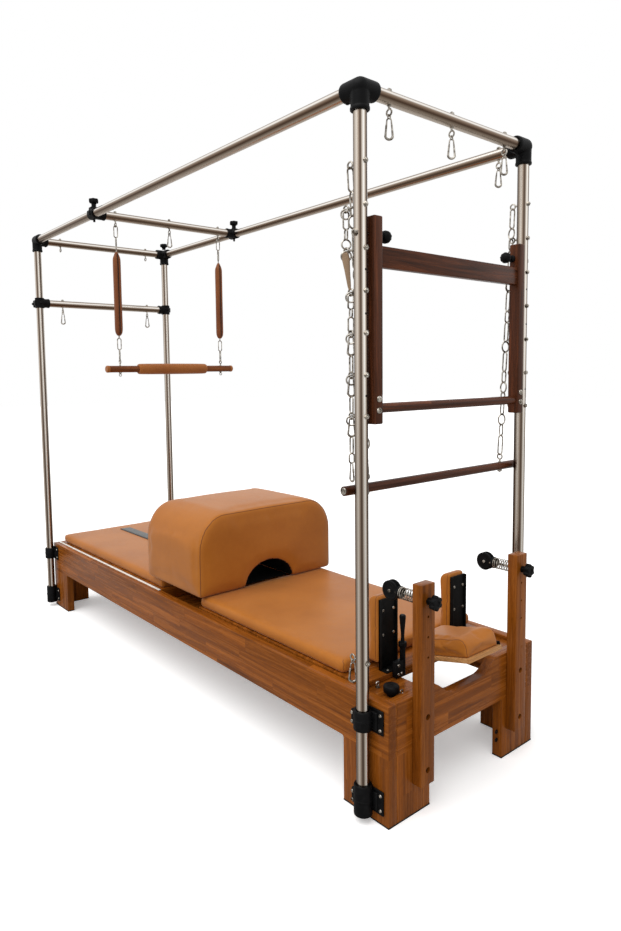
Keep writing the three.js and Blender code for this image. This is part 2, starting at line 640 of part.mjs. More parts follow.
const tower = assembly();
const crossStop = TOWER_Y - TUBE_STOP;
for (const [name, side] of Object.entries(SIDES)) {
  piece(tower, `top_tube_${name}`, topTube(side), 'steel');
  for (const [place, end] of [['head', 1], ['foot', -1]]) {
    const x = end > 0 ? HEAD_X : FOOT_X;
    piece(tower, `upright_${place}_${name}`, upright(end, name), 'steel');
    piece(tower, `corner_elbow_${place}_${name}`, elbow(end, side), 'black');
    piece(tower, `rail_clamp_${place}_${name}`,
      flangeClamp(x, side, CLAMP_Z - CLAMP_HEIGHT / 2, CLAMP_Z + CLAMP_HEIGHT / 2, 0), 'black');
    piece(tower, `foot_socket_${place}_${name}`,
      flangeClamp(x, side, SOCKET_BOTTOM, SOCKET_BOTTOM + SOCKET_HEIGHT, SOCKET_FLOOR), 'black');
  }
}
piece(tower, 'head_cross_tube', crossTube(HEAD_X, TOWER_HEIGHT, crossStop, CROSS_EYES, CROSS_EYES), 'steel');
piece(tower, 'foot_cross_tube', crossTube(FOOT_X, TOWER_HEIGHT, crossStop, FOOT_EYES, []), 'steel');

// Tee clamps join a cross bar to the tubes it slides on.
const TEE_LENGTH = 56;
const TEE_WALL = 6;
const TEE_ARM = 52; // tube centre to the end of the bar's socket
const TEE_LUG = 12;

// A tee clamp: a collar along the tube, a socket for the bar, and a hand knob that locks it.
function teeClamp(centre, along, inward, knobWay) {
  const outer = TUBE_RADIUS + TEE_WALL;
  const half = TEE_LENGTH / 2;
  const on = (direction, distance) => centre.clone().addScaledVector(direction, distance);
  const bodies = [
    rod(on(along, -half), on(along, half), outer, TUBE_SIDES),
    rod(centre, on(inward, TEE_ARM), outer, TUBE_SIDES),
    rod(on(knobWay, outer - EDGE_ROUND), on(knobWay, outer + TEE_LUG), TEE_LUG, SMALL_SIDES),
    handKnob(on(knobWay, outer + TEE_LUG - EDGE_ROUND), knobWay),
  ];
  const bores = [
    rod(on(along, -half - OVERRUN), on(along, half + OVERRUN), TUBE_RADIUS + SEAT_GAP, TUBE_SIDES),
    rod(on(inward, outer), on(inward, TEE_ARM + OVERRUN), TUBE_RADIUS + SEAT_GAP, TUBE_SIDES),
  ];
  return cut(join(...bodies), ...bores);
}

const TEE_STOP = TUBE_RADIUS + TEE_WALL + SEAT_GAP;
const CROSSBAR_RUN = 755; // foot uprights to the sliding crossbar at rest
const TRAPEZE_BAR_X = FOOT_X + CROSSBAR_RUN;
const CROSSBAR_EYES = [-290, 0, 290];
const LOWER_BAR_DROP = 338; // top tubes to the lower crossbar
const LOWER_BAR_Z = TOWER_HEIGHT - LOWER_BAR_DROP;
const barStop = TOWER_Y - TEE_STOP;

const slidingBar = assembly();
piece(slidingBar, 'slide_crossbar',
  crossTube(TRAPEZE_BAR_X, TOWER_HEIGHT, barStop, CROSSBAR_EYES, [0]), 'steel');
const footBar = assembly();
piece(footBar, 'lower_crossbar', crossTube(FOOT_X, LOWER_BAR_Z, barStop, FOOT_EYES, FOOT_EYES), 'steel');
for (const [name, side] of Object.entries(SIDES)) {
  const y = side * TOWER_Y;
  const inward = at(0, -side, 0);
  const topPoint = at(TRAPEZE_BAR_X, y, TOWER_HEIGHT);
  const lowPoint = at(FOOT_X, y, LOWER_BAR_Z);
  piece(slidingBar, `crossbar_clamp_${name}`, teeClamp(topPoint, EAST, inward, UP), 'black');
  piece(footBar, `lower_clamp_${name}`, teeClamp(lowPoint, UP, inward, WEST), 'black');
}

// Trapeze
const HANG_LINK = { radius: 7, wire: 2.4, stretch: 44 };
const HANG_DEPTH = EYE_HOLE - HANG_LINK.wire - SEAT_GAP; // eye centre to the link's bight
const SWING_Z = TOWER_HEIGHT - TUBE_RADIUS - EYE_REACH - HANG_DEPTH;
const LINK_PITCH = HANG_LINK.stretch + 2 * HANG_LINK.radius - HANG_LINK.wire;
const STRAP_RADIUS = 19;
const STRAP_LENGTH = 395;
const STRAP_TAPER = 34;
const STRAP_END_RADIUS = 6;
const GRIP_RADIUS = 27;
const GRIP_LENGTH = 390;
const GRIP_TAPER = 12;
const WOOD_BAR_RADIUS = 16;
const WOOD_BAR_LENGTH = 720;

// A chain of links run down from a bight at the top, each turned a quarter to the one above. Its links
// are joined at their bights, as one taut chain.
function chain(top, count, turnFirst, way = DOWN, pitch = LINK_PITCH) {
  const links = [];
  const crossways = new THREE.Vector3().crossVectors(way, EAST).normalize();
  const stretch = pitch + HANG_LINK.wire - 2 * HANG_LINK.radius;
  for (let i = 0; i < count; i += 1) {
    const centre = top.clone().addScaledVector(way, stretch / 2 + HANG_LINK.radius + i * pitch);
    const normal = (i % 2 === 0) === turnFirst ? EAST : crossways;
    links.push(link(centre, way, normal, HANG_LINK.radius, HANG_LINK.wire, stretch));
  }
  return links;
}

// From the first link's top bight to the last one's lower bight.
function chainLength(count) {
  return count * LINK_PITCH + HANG_LINK.wire;
}

const UPPER_LINKS = 2;
const STRAP_TOP = SWING_Z - chainLength(UPPER_LINKS) - HANG_LINK.radius;
const STRAP_BOTTOM = STRAP_TOP - STRAP_LENGTH;
const LOWER_LINKS = 2;
const TRAPEZE_EYE_Z = STRAP_BOTTOM - HANG_LINK.radius - chainLength(LOWER_LINKS) - HANG_DEPTH;
const TRAPEZE_BAR_Z = TRAPEZE_EYE_Z - EYE_REACH - WOOD_BAR_RADIUS;

// One hanger: links, a padded strap that tapers at both ends, and links down to the bar's eye.
function trapezeHanger(y) {
  const top = at(TRAPEZE_BAR_X, y, SWING_Z);
  const on = (z) => at(TRAPEZE_BAR_X, y, z);
  const stem = (z0, z1) => rod(on(z0), on(z1), HANG_LINK.wire, SMALL_SIDES);
  const strap = turned([
    [0, 0], [STRAP_END_RADIUS, 0], [STRAP_RADIUS, STRAP_TAPER], [STRAP_RADIUS, STRAP_LENGTH - STRAP_TAPER],
    [STRAP_END_RADIUS, STRAP_LENGTH], [0, STRAP_LENGTH],
  ], on(STRAP_BOTTOM), UP);
  const lowTop = on(STRAP_BOTTOM - HANG_LINK.radius);
  return join(
    ...chain(top, UPPER_LINKS, true),
    stem(STRAP_TOP - HANG_LINK.wire, STRAP_TOP + HANG_LINK.radius + HANG_LINK.wire),
    strap,
    stem(STRAP_BOTTOM - HANG_LINK.radius - HANG_LINK.wire, STRAP_BOTTOM + HANG_LINK.radius),
    ...chain(lowTop, LOWER_LINKS, false),
  );
}

// The trapeze bar: wood, with a leather grip in the middle and an eyebolt under each hanger.
function trapezeBar() {
  const half = WOOD_BAR_LENGTH / 2;
  const centre = (y) => at(TRAPEZE_BAR_X, y, TRAPEZE_BAR_Z);
  const eyes = [CROSSBAR_EYES[0], CROSSBAR_EYES[2]];
  const trims = eyes.flatMap((y) => eyebolt(centre(y), UP, NORTH, WOOD_BAR_RADIUS));
  const grip = turned([
    [0, 0], [WOOD_BAR_RADIUS, 0], [GRIP_RADIUS, GRIP_TAPER], [GRIP_RADIUS, GRIP_LENGTH - GRIP_TAPER],
    [WOOD_BAR_RADIUS, GRIP_LENGTH], [0, GRIP_LENGTH],
  ], centre(-GRIP_LENGTH / 2), NORTH);
  return join(rod(centre(-half), centre(half), WOOD_BAR_RADIUS), grip, ...trims);
}

const trapeze = assembly();
piece(trapeze, 'trapeze_bar', trapezeBar(), 'brown');
for (const [name, side] of Object.entries(SIDES)) {
  piece(trapeze, `trapeze_hanger_${name}`, trapezeHanger(side * CROSSBAR_EYES[2]), 'brown');
}

// Push-through bar, hung on pivot bolts between the head uprights
const ARM_CLEARANCE = 7; // upright to arm
const ARM_THICKNESS = 34;
const ARM_WIDTH = 38;
const ARM_FORWARD = 8; // arm centre in front of the pivot
const ARM_ABOVE = 48;
const ARM_BELOW = 520;
const ARM_ROUND = 6;
const BOARD_ABOVE = 30; // pivot to the board's top edge
const BOARD_HEIGHT = 58;
const BOARD_THICKNESS = 24;
const LOW_BAR_DROP = 476; // pivot to the round bar
const LOW_BAR_RADIUS = 14;
const BALL_RADIUS = 17;
const BALL_REACH = 50; // arm to the ball's centre
const ARM_OUTER = TOWER_Y - TUBE_RADIUS - ARM_CLEARANCE;
const ARM_INNER = ARM_OUTER - ARM_THICKNESS;
const ARM_X = HEAD_X + ARM_FORWARD;

function pushArm(side) {
  const [back, front] = [ARM_X - ARM_WIDTH / 2, ARM_X + ARM_WIDTH / 2];
  const shape = outline([
    [back, PIVOT_Z - ARM_BELOW, ARM_ROUND], [front, PIVOT_Z - ARM_BELOW, ARM_ROUND],
    [front, PIVOT_Z + ARM_ABOVE, ARM_ROUND], [back, PIVOT_Z + ARM_ABOVE, ARM_ROUND],
  ]);
  const faces = [side * ARM_INNER, side * ARM_OUTER].sort((a, b) => a - b);
  const bore = rod(at(HEAD_X, faces[0] - OVERRUN, PIVOT_Z), at(HEAD_X, faces[1] + OVERRUN, PIVOT_Z),
    PIVOT_BORE_RADIUS, BORE_SIDES);
  return cut(prism(shape, 'y', faces), bore);
}

// The pivot bolt: a head outside the upright, and a ball knob inside the arm.
function pivotBolt(side) {
  const outside = side * (TOWER_Y + TUBE_RADIUS + SEAT_GAP);
  const inside = side * (ARM_INNER - SEAT_GAP);
  const ball = side * (ARM_INNER - BALL_REACH);
  const on = (y) => at(HEAD_X, y, PIVOT_Z);
  return join(
    rod(on(outside + side * COLLAR_WALL), on(ball), PIVOT_RADIUS),
    rod(on(outside), on(outside + side * COLLAR_WALL), 2 * PIVOT_RADIUS, SMALL_SIDES),
    rod(on(inside), on(ball), 2 * PIVOT_RADIUS, BORE_SIDES, PIVOT_RADIUS),
    toSolid(new THREE.SphereGeometry(BALL_RADIUS, ROUND_SIDES, ROUND_SIDES / 2),
      new THREE.Matrix4().makeTranslation(on(ball))),
  );
}

const pushThrough = assembly();
const boardHalf = ARM_INNER - SEAT_GAP;
for (const [name, side] of Object.entries(SIDES)) {
  piece(pushThrough, `push_arm_${name}`, pushArm(side), 'walnut');
  piece(tower, `pivot_knob_${name}`, pivotBolt(side), 'black');
}
piece(pushThrough, 'push_board', prism(outline([
  [ARM_X - BOARD_THICKNESS / 2, PIVOT_Z - BOARD_ABOVE - BOARD_HEIGHT, EDGE_ROUND],
  [ARM_X + BOARD_THICKNESS / 2, PIVOT_Z - BOARD_ABOVE - BOARD_HEIGHT, EDGE_ROUND],
  [ARM_X + BOARD_THICKNESS / 2, PIVOT_Z - BOARD_ABOVE, EDGE_ROUND],
  [ARM_X - BOARD_THICKNESS / 2, PIVOT_Z - BOARD_ABOVE, EDGE_ROUND],
]), 'y', [-boardHalf, boardHalf]), 'walnut');
piece(pushThrough, 'push_bar', rod(at(ARM_X, -boardHalf, PIVOT_Z - LOW_BAR_DROP),
  at(ARM_X, boardHalf, PIVOT_Z - LOW_BAR_DROP), LOW_BAR_RADIUS), 'walnut');

// Roll-down bar, hung on two chains from the head uprights' top eyes
const ROLL_BAR_Z = 965;
const ROLL_BAR_RADIUS = 14;
const ROLL_BAR_HALF = 430;
const ROLL_EYE_Y = 334;
const ROLL_CAP_LENGTH = 16;
const ROLL_LINKS = 11; // odd, so that the first and last links cross the eyes they hang in
const ROLL_X = HEAD_X - TUBE_RADIUS - EYE_REACH;

// A chain leans from the upright's eye in to the bar's eye, and its links are stretched to fill that run.
function rollChain(side) {
  const top = at(ROLL_X, side * TOWER_Y, eyeRow[ROLL_HANG_EYE] - HANG_DEPTH);
  const foot = at(ROLL_X, side * ROLL_EYE_Y, ROLL_BAR_Z + ROLL_BAR_RADIUS + EYE_REACH + HANG_DEPTH);
  const run = foot.clone().sub(top);
  const pitch = (run.length() - HANG_LINK.wire) / ROLL_LINKS;
  return join(...chain(top, ROLL_LINKS, true, run.normalize(), pitch));
}

function rollBar() {
  const on = (y) => at(ROLL_X, y, ROLL_BAR_Z);
  const inner = ROLL_BAR_HALF - ROLL_CAP_LENGTH;
  const eyeAt = (side) => eyebolt(on(side * ROLL_EYE_Y), UP, NORTH, ROLL_BAR_RADIUS);
  const eyes = Object.values(SIDES).flatMap(eyeAt);
  return join(
    rod(on(-inner), on(inner), ROLL_BAR_RADIUS),
    rod(on(-ROLL_BAR_HALF), on(-inner), ROLL_BAR_RADIUS + EDGE_ROUND / 2),
    rod(on(inner), on(ROLL_BAR_HALF), ROLL_BAR_RADIUS + EDGE_ROUND / 2),
    ...eyes,
  );
}

const rollDown = assembly();
piece(rollDown, 'roll_down_bar', rollBar(), 'walnut');
for (const [name, side] of Object.entries(SIDES)) {
  piece(rollDown, `roll_down_chain_${name}`, rollChain(side), 'steel');
}

// Carriage: a plywood base on four wheels with a hinge barrel, a pad, two shoulder rests and a head rest
const PAD_EDGE = 14;
const PAD_CROWN = 5;
const PAD_DRAW = 2;
const BASE_THICKNESS = 18;
const CARRIAGE_LIFT = 4; // carriage pad above the rail tops
const CARRIAGE_LENGTH = 912;
const BASE_HEAD_GAP = 106; // carriage base to the head panel at rest
const BASE_LIP = 78; // carriage base beyond its pad
const BASE_HEAD_X = PANEL_INNER_X - BASE_HEAD_GAP;
const PAD_HEAD_X = BASE_HEAD_X - BASE_LIP;
const CARRIAGE_FOOT_X = BASE_HEAD_X - CARRIAGE_LENGTH;
const BASE_CLEARANCE = 6;
const WHEEL_RADIUS = 16;
const WHEEL_WIDTH = 20;
const WHEEL_INSET = 90; // base end to wheel axle
const WHEEL_HEAD_INSET = 130;
const AXLE_PIN = 4;
const HANGER_THICKNESS = 10;
const BARREL_RADIUS = 5;
const BARREL_HALF = 70;
const BARREL_INSET = 8; // base end to the hinge axis
const BASE_TOP = BED_HEIGHT + CARRIAGE_LIFT - SEAT_GAP;
const BASE_BOTTOM = BASE_TOP - BASE_THICKNESS;
const WHEEL_Z = LEDGE_TOP + WHEEL_RADIUS + SEAT_GAP;
const HINGE_X = BASE_HEAD_X - BARREL_INSET;
const HINGE_Z = BASE_TOP + BARREL_RADIUS - FUSE;

function carriageBase() {
  const half = INNER_HALF - BASE_CLEARANCE;
  const plate = prism(outline([
    [CARRIAGE_FOOT_X, -half, PAD_EDGE], [BASE_HEAD_X, -half, PAD_EDGE],
    [BASE_HEAD_X, half, PAD_EDGE], [CARRIAGE_FOOT_X, half, PAD_EDGE],
  ]), 'z', [BASE_BOTTOM, BASE_TOP]);
  const running = [];
  for (const side of Object.values(SIDES)) {
    for (const x of [CARRIAGE_FOOT_X + WHEEL_INSET, BASE_HEAD_X - WHEEL_HEAD_INSET]) {
      const outer = side * (half - SLIDE_GAP);
      const inner = outer - side * WHEEL_WIDTH;
      const plateFaces = [inner - side * SLIDE_GAP, inner - side * (SLIDE_GAP + HANGER_THICKNESS)];
      running.push(rod(at(x, outer, WHEEL_Z), at(x, inner, WHEEL_Z), WHEEL_RADIUS, BORE_SIDES));
      const pinFrom = inner + side * FUSE;
      const pinTo = plateFaces[0] - side * FUSE;
      running.push(rod(at(x, pinFrom, WHEEL_Z), at(x, pinTo, WHEEL_Z), AXLE_PIN, SMALL_SIDES));
      running.push(block([x - WHEEL_RADIUS, x + WHEEL_RADIUS], plateFaces.sort((a, b) => a - b),
        [WHEEL_Z - 2 * AXLE_PIN, BASE_BOTTOM + EDGE_ROUND]));
    }
  }
  const barrel = rod(at(HINGE_X, -BARREL_HALF, HINGE_Z), at(HINGE_X, BARREL_HALF, HINGE_Z), BARREL_RADIUS,
    BORE_SIDES);
  return join(plate, barrel, ...running);
}

const SHOULDER_Y = 180;
const SHOULDER_PAD_WIDTH = 84;
const SHOULDER_PAD_DEPTH = 42;
const SHOULDER_PAD_HEIGHT = 218;
const SHOULDER_PAD_EDGE = 8;
const SHOULDER_PAD_RISE = 20; // carriage base to the pad's bottom
const BRACKET_WIDTH = 76;
const BRACKET_DEPTH = 28;
const BRACKET_WALL = 5;
const BRACKET_HEIGHT = 226;
const BRACKET_FOOT = { length: 44, thickness: 5 };
const LEVER = { radius: 7, sleeve: 11, sleeveHeight: 92, height: 190, reach: 40, inset: 6 };
const PAD_SEAT_X = PAD_HEAD_X + SEAT_GAP;
const BRACKET_X = PAD_SEAT_X + SHOULDER_PAD_DEPTH + SEAT_GAP;
const BRACKET_Z = BASE_TOP + SEAT_GAP;

// A channel bracket with its web towards the head end, on a foot plate. The near one carries a lever post.
function shoulderBracket(side) {
  const y = side * SHOULDER_Y;
  const half = BRACKET_WIDTH / 2;
  const head = BRACKET_X + BRACKET_DEPTH;
  const channel = prism(outline([
    [BRACKET_X, y - half], [head, y - half, EDGE_ROUND], [head, y + half, EDGE_ROUND], [BRACKET_X, y + half],
    [BRACKET_X, y + half - BRACKET_WALL], [head - BRACKET_WALL, y + half - BRACKET_WALL],
    [head - BRACKET_WALL, y - half + BRACKET_WALL], [BRACKET_X, y - half + BRACKET_WALL],
  ]), 'z', [BRACKET_Z, BRACKET_Z + BRACKET_HEIGHT]);
  const foot = block([head - BRACKET_WALL - EDGE_ROUND, head + BRACKET_FOOT.length / 2], [y - half, y + half],
    [BRACKET_Z, BRACKET_Z + BRACKET_FOOT.thickness]);
  if (side > 0) return join(channel, foot);
  const leverX = head + BRACKET_FOOT.length / 2 - LEVER.inset;
  const on = (z) => at(leverX, y + LEVER.inset, BRACKET_Z + z);
  return join(channel, foot, rod(on(0), on(LEVER.sleeveHeight), LEVER.sleeve),
    rod(on(0), on(LEVER.height), LEVER.radius));
}

function shoulderPad(side) {
  const y = side * SHOULDER_Y;
  const half = SHOULDER_PAD_WIDTH / 2;
  const bottom = BASE_TOP + SHOULDER_PAD_RISE;
  const tall = SHOULDER_PAD_HEIGHT / 2;
  const upright = new THREE.Matrix4().makeBasis(UP, NORTH, WEST);
  upright.setPosition(PAD_SEAT_X + SHOULDER_PAD_DEPTH, y, bottom + tall);
  return pad([-tall, tall], [-half, half], [0, SHOULDER_PAD_DEPTH], SHOULDER_PAD_EDGE, PAD_CROWN,
    PAD_DRAW, upright);
}

// Head rest, hinged at the carriage base's head edge and propped up at rest
const REST_TILT = THREE.MathUtils.degToRad(14);
const REST_LENGTH = 222;
const REST_WIDTH = 172;
const REST_BOARD = 14;
const REST_CUSHION = 50;
const REST_EDGE = 20;
const REST_INSET = 4;
const REST_SEAT = BARREL_RADIUS + SEAT_GAP; // hinge axis to the board

const carriage = assembly();
const headRest = new THREE.Group();
headRest.position.set(HINGE_X, 0, HINGE_Z);
headRest.rotation.y = -REST_TILT;
carriage.add(headRest);
const padHalf = PAD_WIDTH / 2;
piece(carriage, 'carriage_base', carriageBase(), 'ply');
piece(carriage, 'carriage_pad', pad([CARRIAGE_FOOT_X, PAD_HEAD_X], [-padHalf, padHalf],
  [BASE_TOP + SEAT_GAP, PAD_TOP], PAD_EDGE, 0, PAD_DRAW), 'leather');
for (const [name, side] of Object.entries(SIDES)) {
  piece(carriage, `shoulder_bracket_${name}`, shoulderBracket(side), 'black');
  piece(carriage, `shoulder_pad_${name}`, shoulderPad(side), 'leather');
}
const restHalf = REST_WIDTH / 2;
piece(headRest, 'headrest_board', prism(outline([
  [0, -restHalf, EDGE_ROUND], [REST_LENGTH, -restHalf, EDGE_ROUND],
  [REST_LENGTH, restHalf, EDGE_ROUND], [0, restHalf, EDGE_ROUND],
]), 'z', [REST_SEAT, REST_SEAT + REST_BOARD]), 'ply');
piece(headRest, 'headrest_cushion', pad([REST_INSET, REST_LENGTH - REST_INSET],
  [REST_INSET - restHalf, restHalf - REST_INSET],
  [REST_SEAT + REST_BOARD + SEAT_GAP, REST_SEAT + REST_BOARD + REST_CUSHION], REST_EDGE, PAD_CROWN, PAD_DRAW),
'leather');

// Foot mat with its strap, and the arch box that bridges the gap to the carriage
const MAT_FOOT_X = SLIDE_GAP - PANEL_INNER_X;
const MAT_LENGTH = 1147;
const MAT_HEAD_X = MAT_FOOT_X + MAT_LENGTH;
const MAT_BOTTOM = LEDGE_TOP + SEAT_GAP;
const STRAP_WIDTH = 62;
const STRAP_THICKNESS = 3;
const STRAP_INSET = 120;

const mat = assembly();
piece(mat, 'foot_mat', pad([MAT_FOOT_X, MAT_HEAD_X], [-padHalf, padHalf], [MAT_BOTTOM, PAD_TOP],
  PAD_EDGE, 0, PAD_DRAW), 'leather');

const BOX_LENGTH = 442;
const BOX_ON_MAT = 88; // how far the box stands over the mat
const BOX_FOOT_X = MAT_HEAD_X - BOX_ON_MAT;
const BOX_HEAD_X = BOX_FOOT_X + BOX_LENGTH;
const BOX_HALF = 356;
const BOX_HEIGHT = 330;
const BOX_ROUND = { across: 128, down: 150 };
const ARCH_HALF = 125;
const ARCH_HEIGHT = 96;
const BOX_BEVEL = 6;
const BOX_FOOT_ROUND = 9;

const strapRun = [MAT_FOOT_X + STRAP_INSET, BOX_FOOT_X - SLIDE_GAP];
piece(mat, 'mat_strap', block(strapRun, [-STRAP_WIDTH / 2, STRAP_WIDTH / 2],
  [PAD_TOP + SEAT_GAP, PAD_TOP + SEAT_GAP + STRAP_THICKNESS]), 'webbing');

// The box: upright sides, two big round shoulders, and an arch through it from end to end.
function archBox() {
  const bottom = PAD_TOP + SEAT_GAP;
  const top = bottom + BOX_HEIGHT;
  const shoulderZ = top - BOX_ROUND.down;
  const shoulderY = BOX_HALF - BOX_ROUND.across;
  const shape = new THREE.Shape();
  shape.moveTo(-BOX_HALF, bottom + BOX_FOOT_ROUND);
  shape.quadraticCurveTo(-BOX_HALF, bottom, BOX_FOOT_ROUND - BOX_HALF, bottom);
  shape.absellipse(0, bottom, ARCH_HALF, ARCH_HEIGHT, Math.PI, 0, true);
  shape.lineTo(BOX_HALF - BOX_FOOT_ROUND, bottom);
  shape.quadraticCurveTo(BOX_HALF, bottom, BOX_HALF, bottom + BOX_FOOT_ROUND);
  shape.absellipse(shoulderY, shoulderZ, BOX_ROUND.across, BOX_ROUND.down, 0, Math.PI / 2, false);
  shape.absellipse(-shoulderY, shoulderZ, BOX_ROUND.across, BOX_ROUND.down, Math.PI / 2, Math.PI, false);
  shape.closePath();
  return prism(shape, 'x', [BOX_FOOT_X, BOX_HEAD_X], BOX_BEVEL);
}

piece(assembly(), 'arch_box', archBox(), 'leather');

// The origin is on the floor, under the middle of everything.
const bounds = new THREE.Box3().setFromObject(table);
const middle = bounds.getCenter(ORIGIN.clone());
table.position.set(-middle.x, -middle.y, 0);
console.log(`moved by ${-middle.x} ${-middle.y}, floor ${bounds.min.z}`);

export default table;
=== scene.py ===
"""Dresses the pilates trapeze table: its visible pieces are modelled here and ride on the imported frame.

Sizes are in millimetres in the drawing's own frame, whose X = 0 is the middle of the bed; spot() turns
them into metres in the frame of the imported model.
"""

import logging
import math
from contextlib import contextmanager
from dataclasses import dataclass
from enum import Enum
from typing import Callable, Iterator, Sequence

import bmesh
import bpy
import numpy as np
from mathutils import Matrix, Vector


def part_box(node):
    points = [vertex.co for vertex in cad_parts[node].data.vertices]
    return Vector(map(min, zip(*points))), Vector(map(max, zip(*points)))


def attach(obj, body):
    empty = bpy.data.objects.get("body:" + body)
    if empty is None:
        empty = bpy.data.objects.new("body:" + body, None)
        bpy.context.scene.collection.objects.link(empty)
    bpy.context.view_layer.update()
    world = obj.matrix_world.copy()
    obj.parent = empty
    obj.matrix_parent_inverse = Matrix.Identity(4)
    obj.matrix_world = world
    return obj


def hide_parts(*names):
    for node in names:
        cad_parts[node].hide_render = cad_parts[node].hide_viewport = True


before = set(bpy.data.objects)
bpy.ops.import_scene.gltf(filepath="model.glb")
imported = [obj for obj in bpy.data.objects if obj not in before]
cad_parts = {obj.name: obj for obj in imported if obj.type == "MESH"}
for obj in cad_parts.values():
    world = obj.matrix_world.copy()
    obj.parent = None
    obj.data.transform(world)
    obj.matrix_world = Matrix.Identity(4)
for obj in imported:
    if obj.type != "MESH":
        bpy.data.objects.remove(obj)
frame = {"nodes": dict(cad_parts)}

LOG = logging.getLogger("trapeze_table")
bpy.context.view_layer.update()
MM = 0.001
DATUM_X = sum(corner[0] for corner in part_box("side_panel_near")) / 2
EAST, NORTH, UP = Vector((1, 0, 0)), Vector((0, 1, 0)), Vector((0, 0, 1))
WEST, SOUTH, DOWN = -EAST, -NORTH, -UP
ASKEW = Vector((0.8, -0.6, 0))  # the way that hooks hang, turned from the bars
HERE = Matrix.Identity(4)
TINY = 1e-6
SHARP = math.radians(40)
SIDES = {"near": -1, "far": 1}
Piece = bpy.types.Object
Socket = bpy.types.NodeSocket
Colour = tuple[float, float, float, float]
Pair = tuple[float, float]
Profile = Sequence[Pair]


class Body(Enum):
    """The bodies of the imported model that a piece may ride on."""

    FRAME = "frame"
    PULLEY_NEAR = "pulley_near"
    PULLEY_FAR = "pulley_far"
    CROSSBAR = "crossbar"
    TRAPEZE = "trapeze"
    LOWER_BAR = "lower_bar"
    PUSH_BAR = "push_bar"
    ROLL_DOWN = "roll_down"
    CARRIAGE = "carriage"
    HEAD_REST = "head_rest"
    MAT = "mat"
    BOX = "box"


class Slot(Enum):
    """The record's material slots."""

    OAK = "oak"
    WALNUT = "walnut"
    PLY = "ply"
    STEEL = "steel"
    BLACK = "black"
    LEATHER = "leather"
    BROWN = "brown"
    WEBBING = "webbing"


class Pick(Enum):
    """What a selection in edit mode is made of."""

    VERTICES = "VERT"
    FACES = "FACE"


def spot(x: float, y: float, z: float) -> Vector:
    """A point of the drawing, in metres in the model's frame."""
    return Vector((x * MM + DATUM_X, y * MM, z * MM))


def aimed(origin: Vector, along: Vector, facing: Vector = NORTH) -> Matrix:
    """A placement that turns local +Z to a direction and local +Y towards another.

    Args:
        origin: Where the local origin goes, in metres.
        along: The direction of local +Z.
        facing: The direction that local +Y comes closest to.

    Returns:
        The placement matrix.
    """
    z = along.normalized()
    y = facing - z * facing.dot(z)
    y = y.normalized() if y.length > TINY else (EAST - z * EAST.dot(z)).normalized()
    turn = Matrix((y.cross(z), y, z)).transposed().to_4x4()
    return Matrix.Translation(origin) @ turn


# Colours and finishes


def paint(red: int, green: int, blue: int) -> Colour:
    """A screen colour from 0 to 255 as the linear colour that a shader takes."""

    def linear(value: float) -> float:
        """One channel from the screen's curve to linear light."""
        return value / 12.92 if value <= 0.04045 else ((value + 0.055) / 1.055) ** 2.4

    return linear(red / 255), linear(green / 255), linear(blue / 255), 1.0


